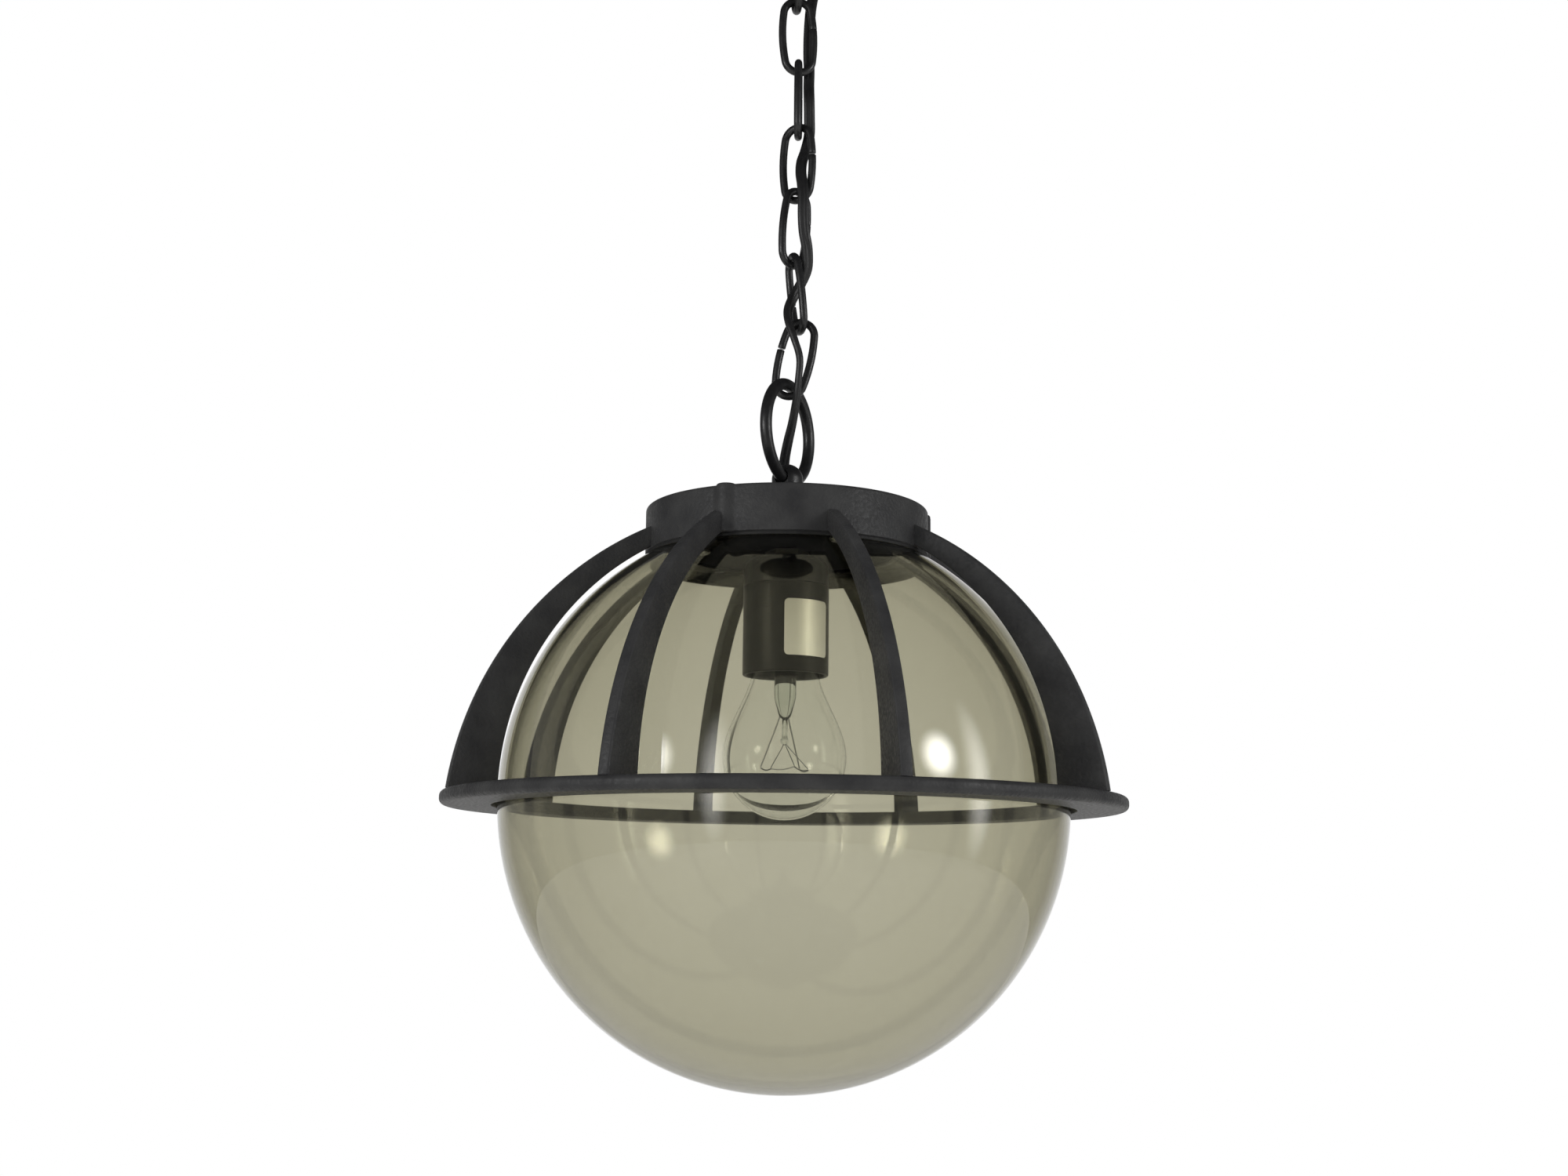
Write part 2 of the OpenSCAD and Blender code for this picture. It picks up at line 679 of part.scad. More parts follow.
module gear_plate() {
    color("#1f2021") hang() difference() {
        disc(plate_r, plate_z, plate_z + plate_t);
        disc(stud_r + run, plate_z - 1, plate_z + plate_t + 1);
        at_posts() disc(plate_screw_r + run, plate_z - 1, plate_z + plate_t + 1);
    }
}

module plate_posts() {
    color("silver") hang() at_posts() difference() {
        translate([0, 0, plate_z + plate_t + washer_gap])
            cylinder(r = post_r / cos(30), h = post_h - 2 * washer_gap, $fn = 6);
        disc(plate_screw_r + washer_gap, plate_z, plate_z + plate_t + post_h - 2);
    }
}

module plate_screws() {
    slot = [4, 0.7, 1.4];
    color("silver") hang() at_posts() difference() {
        union() {
            disc(plate_screw_r, plate_z - washer_gap - 0.5, plate_z + plate_t + post_h - 3);
            disc(plate_head_r, plate_z - washer_gap - plate_head_h, plate_z - washer_gap);
        }
        translate([0, 0, plate_z - plate_head_h - 0.5]) for (a = [0, 90]) rotate([0, 0, a])
            translate([-slot[0] / 2, -slot[1] / 2, 0]) cube(slot);
    }
}

module holder_nipple() {
    color("silver") hang()
        tube(stud_r, stud_r - 1.2, holder_top - 3, plate_z + plate_t + lock_t + 0.3);
}

module nipple_nut() {
    base = plate_z + plate_t + washer_gap;
    color("silver") hang() {
        hex_nut(stud_r + washer_gap, base, base + lock_t);
        hex_nut(stud_r + washer_gap, holder_top + washer_gap, plate_z - washer_gap);
    }
}

module holder_dome() {
    shoulder = 5;
    roof = 3;
    color("#232323") hang() difference() {
        rotate_extrude() {
            difference() {
                union() {
                    translate([0, dome_z]) square([holder_r, dome_h - shoulder]);
                    translate([0, dome_z]) square([holder_r - shoulder, dome_h]);
                    translate([holder_r - shoulder, holder_top - shoulder]) circle(shoulder);
                }
                translate([-1, dome_z - 1]) square([holder_in + 1, dome_h - roof + 1]);
            }
        }
        disc(stud_r + 0.05, holder_top - roof - 1, holder_top + 1);
    }
}

module holder_skirt() {
    groove = 0.5;
    latch_w = 7;
    latch_h = 8;
    latch_down = 4;
    latch_turn = -32;
    color("#232323") hang() difference() {
        tube(holder_r, holder_in, skirt_z, dome_z - washer_gap);
        at_azimuth(latch_turn) translate([holder_r - groove, -latch_w / 2, dome_z - latch_down - latch_h]) {
            cube([3, groove, latch_h]);
            cube([3, latch_w, groove]);
        }
    }
}

module holder_core() {
    lug_r = core_bore + 1.6;
    color("#e9e6dd") hang() difference() {
        union() {
            disc(holder_in - 0.15, core_z, core_z + core_h);
            disc(lug_r, shell_z + 3, core_z + eps);
        }
        disc(core_bore, shell_z, core_z);
        for (s = [-1, 1]) translate([s * terminal_x, 0, 0]) disc(1.6, core_z - 1, core_z + core_h + 1);
    }
}

module screw_shell() {
    color("#c8b273") hang() thread_shell(shell_in, shell_t, shell_z, core_z - washer_gap, 0, 0);
}

module centre_contact() {
    strip_w = 5;
    t = 0.5;
    top = core_z - washer_gap;
    color("#c9a24d") hang() rotate([90, 0, 0]) linear_extrude(strip_w, center = true)
        polygon([[6, top], [6, top - t], [3.2, top - t], [2.4, bulb_tip + seat], [-2.4, bulb_tip + seat],
            [-2.4, bulb_tip + seat + t], [1.9, bulb_tip + seat + t], [2.8, top]]);
}

module holder_terminals() {
    base = core_z + core_h + washer_gap;
    hole_h = 2.6;
    color("#c9a24d") hang() for (s = [-1, 1]) translate([s * terminal_x, 0, base]) difference() {
        translate([-terminal_size[0] / 2, -terminal_size[1] / 2, 0]) cube(terminal_size);
        translate([0, 0, hole_h]) rotate([90, 0, 0])
            cylinder(r = core_wire_r + run, h = terminal_size[1] + 2, center = true);
    }
}

// Two insulated cores, from the cord grip down through the nipple to the lampholder's terminals
wire_top = hood_under - grip_size[2] - washer_gap;
wire_over = plate_z + plate_t + lock_t + 2;
terminal_x = 8.5;
terminal_size = [6, 8, 5];
terminal_top = core_z + core_h + washer_gap + terminal_size[2];
function wire_route(s) = [
    [s * 1.3, bush_at[1], wire_top], [s * 1.4, bush_at[1] - 1, wire_top - 1.6],
    [s * 1.6, bush_at[1] - 4, wire_over - 2], [s * 1.6, 10, wire_over - 0.6],
    [s * 1.6, 6, wire_over + 0.3],
    [s * 1.4, 2, wire_over], [s * 1.2, 0.3, wire_over - 1.6], [s * 1.2, 0, wire_over - 4.5],
    [s * 1.2, 0, plate_z - 2], [s * 1.4, 0, holder_top - 2.5], [s * 3, 0, holder_top - 4.6],
    [s * 6, 0, terminal_top + 2.6], [s * 8.2, 0, terminal_top + 1.8],
    [s * terminal_x, 0, terminal_top + washer_gap]
];

module inner_wires() {
    color("#7a5a3c") hang() for (s = [-1, 1])
        skin(ring_path([for (p = wire_route(s)) concat(p, 0)], core_wire_r, core_wire_r, 8));
}

module holder_label() {
    color("#cfcabd") hang() at_azimuth(label_turn) rotate([0, 0, -label_arc / 2]) translate([0, 0, label_z])
        rotate_extrude(angle = label_arc) translate([holder_r + washer_gap, 0]) square([label_t, label_h]);
}

// Bulb
module bulb_cap() {
    thread_low = thread_top - bulb_thread_l;
    color("#c9ccce") hang()
        thread_shell(lamp_thread_r - shell_t, shell_t, thread_low, thread_top, 1.2, thread_low - cap_z);
}

module bulb_insulator() {
    color("#1a1a22") hang() translate([0, 0, thread_top])
        cylinder(r1 = cap_r, r2 = contact_r, h = insulator_h);
}

module bulb_contact() {
    color("#b8b8b0") hang() disc(contact_r, bulb_tip - contact_h, bulb_tip);
}

// Outline of the bulb's glass up to the given height, drawn smaller by the given wall
module bulb_outline(wall, top) {
    neck = [bulb_neck_r - wall, skirt_z + 1 - bulb_z];
    reach = norm(neck);
    touch = atan2(neck[1], neck[0]) - acos((bulb_r - wall) / reach);
    translate([0, bulb_z]) {
        intersection() {
            circle(bulb_r - wall, $fn = 96);
            translate([0, -bulb_r]) square([bulb_r, 2 * bulb_r]);
        }
        polygon([[0, 0], polar(bulb_r - wall, touch), neck, [lamp_thread_r - wall, top - bulb_z],
            [0, top - bulb_z]]);
    }
}

module bulb_glass() {
    color([0.95, 0.95, 0.95, 0.3]) hang() rotate_extrude() difference() {
        bulb_outline(0, cap_z);
        bulb_outline(bulb_wall, cap_z - bulb_wall);
        translate([0, cap_z - 3]) square([stem_r + washer_gap, 4]);
    }
}

stem_r = 4.9;
stem_tip_r = 3;
stem_low = bulb_z + 18;
button_z = bulb_z + 7.5;
filament_z = bulb_z - 4.5;
lead_r = 0.35;
lead_turn = [-92, 140];
lead_out = 10.5;

module rod(a, b, r) {
    d = b - a;
    translate(a) rotate([0, acos(d[2] / norm(d)), atan2(d[1], d[0])])
        cylinder(r = r, h = norm(d), $fn = 16);
}

module bulb_stem() {
    color([0.9, 0.9, 0.9, 0.4]) hang() {
        disc(stem_r, stem_low + 8, cap_z + 3);
        translate([0, 0, stem_low]) cylinder(r1 = stem_tip_r, r2 = stem_r, h = 8 + eps);
        disc(1.2, button_z, stem_low + eps);
        translate([0, 0, button_z]) sphere(r = 1.9);
    }
}

hook_count = 5;
wire_r = 0.25;
function hook(k) = let (a = lead_turn[0] + (lead_turn[1] - lead_turn[0]) * k / (hook_count - 1))
    [lead_out * sin(a), -lead_out * cos(a), filament_z - (k % 2)];
function toward(p, r) = [p[0], p[1], 0] / norm([p[0], p[1]]) * r;

module bulb_leads() {
    color("#9a9a9a") hang() {
        for (k = [0, hook_count - 1])
            rod(hook(k) + [0, 0, wire_r + 0.1], toward(hook(k), 2.3) + [0, 0, stem_low - 0.3], lead_r);
        for (k = [1 : hook_count - 2])
            rod(hook(k) + [0, 0, wire_r + 0.1], toward(hook(k), 0.9) + [0, 0, button_z - 1.9], 0.2);
    }
}

module bulb_filament() {
    color("#5a5a5a") hang() skin(ring_path([for (k = [0 : hook_count - 1]) hook(k)], wire_r, wire_r, 6));
}

// Rings of a flat section along points, with the flat side turned as each point's fourth value says
function point_at(p) = [p[0], p[1], p[2]];
function ring_path(points, half_w, half_t, sides) = let (m = len(points))
    [for (k = [0 : m - 1]) let (i = m - 1 - k,
        d = point_at(points[min(i + 1, m - 1)]) - point_at(points[max(i - 1, 0)]),
        level = len(points[0]) == 3,
        end = (i == 0 || i == m - 1) && !level,
        u = end ? [0, 0, sign(d[2])] : d / norm(d),
        a = level ? 0 : points[i][3],
        w0 = cross(cross(u, level ? [0, 0, 1] : [cos(a), sin(a), 0]), u),
        w = w0 / norm(w0),
        v = cross(u, w))
        [for (j = [0 : sides - 1]) let (b = 360 * (j + 0.5) / sides)
            point_at(points[i]) + half_w * cos(b) / cos(180 / sides) * w
                + half_t * sin(b) / cos(180 / sides) * v]];

module flex() {
    color("#1b1b1b") skin(ring_path(flex_points, flex_w / 2, flex_t / 2, flex_sides));
}

ceiling_bracket();
canopy();
canopy_loop();
canopy_nut();
canopy_bush();
terminal_block();
terminal_screws();
chain_link(0);  // chain_link_1
chain_link(1);  // chain_link_2
chain_link(2);  // chain_link_3
chain_link(3);  // chain_link_4
chain_link(4);  // chain_link_5
chain_link(5);  // chain_link_6
chain_link(6);  // chain_link_7
suspension_ring();
suspension_eye();
eye_nut();
hood();
hood_bush();
cord_grip();
guard_ring();
rib(1);  // rib_1
rib(2);  // rib_2
rib(3);  // rib_3
rib(4);  // rib_4
rib(5);  // rib_5
rib(6);  // rib_6
rib(7);  // rib_7
rib(8);  // rib_8
gallery_ring();
gallery_screws();
globe_seal();
globe();
gear_plate();
plate_posts();
plate_screws();
holder_nipple();
nipple_nut();
holder_dome();
holder_skirt();
holder_core();
screw_shell();
centre_contact();
holder_terminals();
inner_wires();
holder_label();
bulb_cap();
bulb_insulator();
bulb_contact();
bulb_glass();
bulb_stem();
bulb_leads();
bulb_filament();
flex();
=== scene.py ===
"""Globe pendant light: a cast guard of ribs round a smoked globe, hung by a chain from its ceiling canopy.
Lengths are written in millimetres. Heights are from the ceiling, or from the globe's centre where a piece is
part of the lamp, and every finished mesh is in metres."""
import json
import math

import bmesh
import bpy
from mathutils import Matrix, Vector


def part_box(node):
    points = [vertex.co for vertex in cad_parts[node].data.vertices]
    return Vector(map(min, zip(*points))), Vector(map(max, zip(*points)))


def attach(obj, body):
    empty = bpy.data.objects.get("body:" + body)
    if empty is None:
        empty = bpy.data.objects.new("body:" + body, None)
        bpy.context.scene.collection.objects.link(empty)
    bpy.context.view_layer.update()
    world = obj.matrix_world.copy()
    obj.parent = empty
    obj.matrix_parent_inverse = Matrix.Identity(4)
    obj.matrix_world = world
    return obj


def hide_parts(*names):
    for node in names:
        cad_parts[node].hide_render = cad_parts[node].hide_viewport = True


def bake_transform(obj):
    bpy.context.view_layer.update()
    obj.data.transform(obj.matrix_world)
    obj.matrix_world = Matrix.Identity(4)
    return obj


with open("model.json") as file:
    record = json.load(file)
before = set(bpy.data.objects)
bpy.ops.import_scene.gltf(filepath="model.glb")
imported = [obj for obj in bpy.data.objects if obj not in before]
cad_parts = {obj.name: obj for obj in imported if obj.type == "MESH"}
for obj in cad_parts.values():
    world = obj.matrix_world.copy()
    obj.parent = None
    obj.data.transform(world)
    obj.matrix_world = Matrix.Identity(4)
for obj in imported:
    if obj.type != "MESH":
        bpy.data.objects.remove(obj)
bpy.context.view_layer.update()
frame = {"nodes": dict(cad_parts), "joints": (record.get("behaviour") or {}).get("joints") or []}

MM = 0.001
GLOBE_R = 125
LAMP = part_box("globe")[0].z / MM + GLOBE_R

# Camera: it stands a little below the globe's centre and looks up, as the photograph does
PHOTO_W = 2000
FOCAL_PX = 2431.505
CAMERA_AT = (0, -843.7, -507.24)
TILT, ROLL = 9.638, 0.597
AXIS_PX = 2.89

eye = bpy.data.objects.new("camera", bpy.data.cameras.new("camera"))
eye.data.sensor_width = 36
eye.data.lens = eye.data.sensor_width * FOCAL_PX / PHOTO_W
eye.data.shift_x = -AXIS_PX / PHOTO_W
eye.data.clip_start = 0.01
eye.matrix_world = (Matrix.Translation(Vector(CAMERA_AT) * MM)
                    @ Matrix.Rotation(math.radians(90 + TILT), 4, "X")
                    @ Matrix.Rotation(math.radians(ROLL), 4, "Z"))
bpy.context.scene.collection.objects.link(eye)
bpy.context.scene.camera = eye


# Nodes, colours and surfaces
def tone(code):
    """A hex colour as the eye reads it, turned to linear, and opaque"""
    parts = [int(code[i:i + 2], 16) / 255 for i in (1, 3, 5)]
    return [p / 12.92 if p <= 0.04045 else ((p + 0.055) / 1.055) ** 2.4 for p in parts] + [1]


def add(tree, kind, inputs=None, **settings):
    """A new node, with its settings, and with its inputs linked to sockets or set to values"""
    node = tree.nodes.new(kind)
    for name, value in settings.items():
        setattr(node, name, value)
    for name, value in (inputs or {}).items():
        if isinstance(value, bpy.types.NodeSocket):
            tree.links.new(value, node.inputs[name])
        else:
            node.inputs[name].default_value = value
    return node


def blank(name):
    """An empty material's tree, and Object coordinates in it"""
    surface = bpy.data.materials.new(name)
    surface.use_nodes = True
    surface.node_tree.nodes.clear()
    return surface, surface.node_tree, add(surface.node_tree, "ShaderNodeTexCoord").outputs["Object"]


def noise(tree, place, size, detail):
    """Noise in patches of a size in millimetres"""
    return add(tree, "ShaderNodeTexNoise", {"Vector": place, "Scale": 1 / (size * MM),
                                            "Detail": detail}).outputs["Fac"]


def spread(tree, value, low=0, high=1):
    """A noise value, which keeps mostly between 0.3 and 0.7, spread from low to high"""
    return add(tree, "ShaderNodeMapRange", {"Value": value, "From Min": 0.3, "From Max": 0.7, "To Min": low,
                                            "To Max": high}).outputs[0]


def mixed(tree, share, colours):
    """A colour between two. The Mix node takes its colours at sockets 6 and 7 and gives one at 2"""
    return add(tree, "ShaderNodeMix", {0: share, 6: tone(colours[0]), 7: tone(colours[1])},
               data_type="RGBA").outputs[2]


def bumped(tree, height, depth):
    """The surface's direction where a height lifts it by a depth in millimetres"""
    return add(tree, "ShaderNodeBump", {"Height": height, "Strength": 1, "Distance": depth * MM}).outputs[0]


def grained(name, colours, patch, grain, depth, gloss, drawn=(1, 1, 1), **shader):
    """A surface whose colour drifts between two tones over patches of one size, and whose grain lifts it by a
    depth and moves its roughness. Under 1, drawn stretches the grain along an axis, as drawing a wire does"""
    surface, tree, place = blank(name)
    fine = noise(tree, add(tree, "ShaderNodeMapping", {"Vector": place, "Scale": drawn}).outputs[0], grain, 2)
    colour = mixed(tree, spread(tree, noise(tree, place, patch, 3)), colours)
    body = add(tree, "ShaderNodeBsdfPrincipled",
               {"Base Color": colour, "Roughness": spread(tree, fine, *gloss),
                "Normal": bumped(tree, fine, depth), **shader})
    add(tree, "ShaderNodeOutputMaterial", {"Surface": body.outputs[0]})
    return surface


def clear(name, tint, density, tones, patch, wave, depth, rough, ior):
    """A see-through surface that darkens with its thickness. Rays from the lamps pass it, so that what it
    covers is lit"""
    surface, tree, place = blank(name)
    body = add(tree, "ShaderNodeBsdfPrincipled",
               {"Base Color": mixed(tree, noise(tree, place, patch, 2), tones), "Roughness": rough,
                "IOR": ior, "Transmission Weight": 1,
                "Normal": bumped(tree, noise(tree, place, wave, 1), depth)})
    lamp = add(tree, "ShaderNodeLightPath").outputs["Is Shadow Ray"]
    passing = add(tree, "ShaderNodeBsdfTransparent", {"Color": tone("#f2f1ea")})
    both = add(tree, "ShaderNodeMixShader", {0: lamp, 1: body.outputs[0], 2: passing.outputs[0]})
    depth_tint = add(tree, "ShaderNodeVolumeAbsorption", {"Color": tone(tint), "Density": density})
    add(tree, "ShaderNodeOutputMaterial", {"Surface": both.outputs[0], "Volume": depth_tint.outputs[0]})
    return surface


# Black polyester powder coat on cast aluminium. It cures with a fine leather texture, which scatters the
# light to a grey sheen. The real grain is finer than the 1.4 mm drawn here, and would not show at all
powder_coat = grained("black polyester powder coat", ("#2a2a2b", "#373737"), 14, 1.4, 0.25, (0.36, 0.6),
                      **{"Specular IOR Level": 0.2})
# The gear plate's black powder coat, drawn matt, darker than the hood's and almost without gloss: painted
# shade for the dark under the hood
shaded_powder_coat = grained("black powder coat with painted shade", ("#0c0c0d", "#131314"), 10, 0.6, 0.02, (0.6, 0.75),
                  **{"Specular IOR Level": 0.04})
# Black stoving enamel of the chain, its ring and the eye: smoother than the powder coat, with soft lights
chain_enamel = grained("black enamelled steel wire", ("#131314", "#1c1c1d"), 9, 1.6, 0.03, (0.28, 0.42))
# Zinc plated steel: a grey-blue metal with a cloudy passivated skin
zinc = grained("zinc plated steel", ("#a9adb2", "#c2c2bd"), 5, 0.5, 0.01, (0.28, 0.45), Metallic=1)
# Die cast aluminium of the gallery ring: dull and dark, with a grey mottled skin from the die
cast_aluminium = grained("die cast aluminium", ("#4c4d4f", "#626364"), 7, 0.8, 0.02, (0.5, 0.65),
                         Metallic=1)
# Black phenolic moulding of the lampholder: hard and close, with a slight shine and a very fine eroded skin
phenolic = grained("black phenolic moulding", ("#101011", "#161617"), 11, 0.35, 0.008, (0.34, 0.44),
                   **{"Specular IOR Level": 0.25})
# White polyamide of the terminal block and the cord grip: milky and matt
polyamide = grained("white moulded polyamide", ("#e4e0d4", "#eeebe1"), 8, 0.7, 0.02, (0.4, 0.55),
                    **{"Subsurface Weight": 0.1, "Subsurface Scale": 0.002})
# Glazed porcelain of the lampholder's core: cream white under a wet-looking glaze
porcelain = grained("glazed steatite porcelain", ("#e7e3d8", "#f1eee5"), 9, 2.5, 0.02, (0.1, 0.22),
                    **{"Coat Weight": 0.6, "Coat Roughness": 0.06})
# Black rubber of the seal and bushes: matt, with a little grey bloom
rubber = grained("black EPDM rubber", ("#101010", "#1a1a19"), 4, 0.5, 0.03, (0.62, 0.8))
# Rolled brass of the screw shell, the terminals and the contact strip, with its lines along X
brass = grained("rolled brass", ("#b08a45", "#c9a45c"), 6, 0.6, 0.01, (0.25, 0.42), drawn=(0.2, 1, 1),
                Metallic=1)
# Nickel plated brass of the bulb's cap, rolled and bright, with fine lines round it
nickel = grained("nickel plated brass", ("#b4b2aa", "#c9c7c0"), 6, 0.5, 0.01, (0.16, 0.32),
                 drawn=(0.3, 0.3, 1), Metallic=1)
# Tin solder on the lamp's end contact: a dull, slightly frosted blob
solder = grained("tin solder", ("#8d8f91", "#a9aaab"), 2, 0.6, 0.03, (0.35, 0.6), Metallic=1)
# Black vitrite, the glass that carries the lamp's end contact: deep and glossy
vitrite = grained("black vitrite glass", ("#0c0c12", "#17171f"), 3, 1.2, 0.01, (0.08, 0.16))
# Tungsten wire and nickel-iron leads: dark grey and dull
tungsten = grained("drawn tungsten", ("#55565a", "#6c6d70"), 2, 0.3, 0.005, (0.35, 0.5), Metallic=1)
lead_wire = grained("nickel iron wire", ("#8f8f90", "#a3a3a2"), 2, 0.3, 0.005, (0.3, 0.42), Metallic=1)
# Black PVC sheath of the flat twin flex: satin, with faint lines from the extruder along it
pvc = grained("black PVC flex", ("#131314", "#1c1c1d"), 12, 0.9, 0.03, (0.36, 0.52), drawn=(1, 1, 0.15))
# Silicone insulation of the two inner cores: soft brown
silicone = grained("brown silicone insulation", ("#6b4630", "#7d5540"), 5, 0.8, 0.02, (0.45, 0.6))
# Silvered polyester label, left bare, with faint lines round the holder
label_film = grained("silvered polyester film", ("#f4f4f2", "#fafaf8"), 12, 0.35, 0.004, (0.42, 0.52),
                     drawn=(0.15, 0.15, 1), Metallic=0.4)
# Smoked acrylic of the globe, blown: grey-olive in its thickness, glossy, with long soft ripples
smoked = clear("smoked blown acrylic", "#a59e6b", 200, ("#f6f6f1", "#fbfbf8"), 90, 60, 0.03, 0.02, 1.49)
# Soda-lime glass of the bulb, thin and clear, and the thicker glass of its stem
bulb_clear = clear("clear soda-lime glass", "#e9efe8", 40, ("#fbfcfb", "#ffffff"), 40, 30, 0.02, 0.004, 1.3)
stem_clear = clear("clear lead glass", "#dfe6df", 60, ("#f6f8f6", "#fdfefd"), 20, 6, 0.06, 0.01, 1.5)


# Shapes, in millimetres
def polar(r, a):
    """The point at a radius and at an angle in degrees"""
    return r * math.cos(math.radians(a)), r * math.sin(math.radians(a))


def arc(centre, r, first, last, steps):
    """Points along an arc, its angles in degrees"""
    points = (polar(r, first + (last - first) * k / steps) for k in range(steps + 1))
    return [(centre[0] + x, centre[1] + y) for x, y in points]


def eased(corners, steps=5):
    """A closed outline through corners (x, y, radius), each rounded by its radius"""
    outline = []
    for k, (x, y, r) in enumerate(corners):
        here = Vector((x, y))
        if r == 0:
            outline.append((x, y))
            continue
        back = (Vector(corners[k - 1][:2]) - here).normalized()
        on = (Vector(corners[(k + 1) % len(corners)][:2]) - here).normalized()
        half = back.angle(on) / 2
        middle = here + (back + on).normalized() * (r / math.sin(half))
        first, last = here + back * (r / math.tan(half)) - middle, here + on * (r / math.tan(half)) - middle
        turn = first.angle_signed(last)
        for j in range(steps + 1):
            outline.append(tuple(middle + Matrix.Rotation(-turn * j / steps, 2) @ first))
    return outline


def turned(profile, around=128):
    """A closed solid turned round the axis from an outline of (radius, height)"""
    verts, rows = [], []
    for r, z in profile:
        count = 1 if r < 1e-6 else around
        rows.append([len(verts) + j for j in range(count)])
        verts += [(*polar(r, 360 * j / around), z) for j in range(count)]
    faces = []
    for a, b in zip(rows, rows[1:] + rows[:1]):
        for j in range(around):
            cell = [a[j % len(a)], a[(j + 1) % len(a)], b[(j + 1) % len(b)], b[j % len(b)]]
            kept = [v for i, v in enumerate(cell) if v not in cell[:i]]
            if len(kept) > 2:
                faces.append(kept)
    return verts, faces


def lofted(rings, closed=False):
    """A solid through rings, all of one count of points. Its ends are capped, or joined where it is closed"""
    n, m = len(rings[0]), len(rings)
    faces = [[k * n + j, k * n + (j + 1) % n, (k + 1) % m * n + (j + 1) % n, (k + 1) % m * n + j]
             for k in range(m if closed else m - 1) for j in range(n)]
    if not closed:
        faces += [list(range(n)), list(range((m - 1) * n, m * n))]
    return [p for ring in rings for p in ring], faces


def block(low, high):
    """A box between two corners"""
    (a, b, c), (d, e, f) = low, high
    return lofted([[(a, b, z), (d, b, z), (d, e, z), (a, e, z)] for z in (c, f)])


def moved(part, matrix):
    """A part with its points taken through a matrix"""
    return [tuple(matrix @ Vector(v)) for v in part[0]], part[1]


lamp_at = Matrix.Translation((0, 0, LAMP))


def at_lamp(*parts):
    """Parts with heights from the globe's centre, taken to where the globe hangs"""
    return [moved(part, lamp_at) for part in parts]


def azimuth(a):
    """The turn about the axis that takes +X to an azimuth: 0 is the camera's side and 90 the right"""
    return Matrix.Rotation(math.radians(a - 90), 4, "Z")


def tidied(mesh, crease):
    """Merges a mesh's doubles, points its faces outwards, and smooths all but its sharp edges"""
    solid = bmesh.new()
    solid.from_mesh(mesh)
    bmesh.ops.remove_doubles(solid, verts=solid.verts, dist=1e-7)
    bmesh.ops.recalc_face_normals(solid, faces=solid.faces)
    solid.to_mesh(mesh)
    solid.free()
    mesh.shade_smooth()
    mesh.set_sharp_from_angle(angle=math.radians(crease))


def meshed(name, parts, surface, crease=35):
    """An object in metres from parts, which are lists of points and faces"""
    points, faces = [], []
    for verts, cells in parts:
        faces += [[v + len(points) for v in cell] for cell in cells]
        points += [Vector(v) * MM for v in verts]
    mesh = bpy.data.meshes.new(name)
    mesh.from_pydata(points, [], faces)
    mesh.materials.append(surface)
    tidied(mesh, crease)
    thing = bpy.data.objects.new(name, mesh)
    bpy.context.scene.collection.objects.link(thing)
    return thing


def settle(thing, crease):
    """Turns what an object's modifiers make into its plain mesh, and removes them"""
    ready = bpy.context.evaluated_depsgraph_get()
    made = bpy.data.meshes.new_from_object(thing.evaluated_get(ready), depsgraph=ready)
    thing.modifiers.clear()
    thing.data = made
    tidied(made, crease)
    return thing


def ease(thing, width, crease):
    """Rounds an object's sharp edges"""
    round_off = thing.modifiers.new("ease", "BEVEL")
    round_off.width, round_off.segments = width * MM, 2
    round_off.limit_method, round_off.angle_limit = "ANGLE", math.radians(crease)
    return settle(thing, crease)


def cut(thing, parts, crease=35):
    """Takes parts away from an object"""
    tool = meshed("cutter", parts, thing.data.materials[0])
    bite = thing.modifiers.new("cut", "BOOLEAN")
    bite.operation, bite.solver, bite.object = "DIFFERENCE", "EXACT", tool
    settle(thing, crease)
    bpy.data.objects.remove(tool)
    return thing


def mount(thing, body, slot, *nodes):
    """Hands a finished piece to its CAD body, in the place of the CAD nodes named, which it hides. The slot
    is not used
    """
    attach(thing, body)
    if nodes:
        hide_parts(*nodes)
    return thing


# Geometry Nodes for what is bent from wire and for what repeats round the axis
def grown(name, sockets, make):
    """A geometry tree with named inputs. It ends in Realize Instances and Set Material"""
    tree = bpy.data.node_groups.new(name, "GeometryNodeTree")
    tree.interface.new_socket("Geometry", in_out="INPUT", socket_type="NodeSocketGeometry")
    for label, kind in sockets.items():
        tree.interface.new_socket(label, in_out="INPUT", socket_type="NodeSocket" + kind)
    tree.interface.new_socket("Surface", in_out="INPUT", socket_type="NodeSocketMaterial")
    tree.interface.new_socket("Geometry", in_out="OUTPUT", socket_type="NodeSocketGeometry")
    start = add(tree, "NodeGroupInput").outputs
    real = add(tree, "GeometryNodeRealizeInstances", {"Geometry": make(tree, start)})
    painted = add(tree, "GeometryNodeSetMaterial", {"Geometry": real.outputs[0],
                                                    "Material": start["Surface"]})
    add(tree, "NodeGroupOutput", {0: painted.outputs[0]})
    return tree


def wire_round(tree, start):
    """A round wire along the object's own edges, with flat ends where it is open"""
    line = add(tree, "GeometryNodeMeshToCurve", {"Mesh": start["Geometry"]})
    section = add(tree, "GeometryNodeCurvePrimitiveCircle", {"Resolution": start["Facets"],
                                                             "Radius": start["Wire radius"]})
    return add(tree, "GeometryNodeCurveToMesh", {"Curve": line.outputs[0], "Fill Caps": True,
                                                 "Profile Curve": section.outputs[0]}).outputs[0]


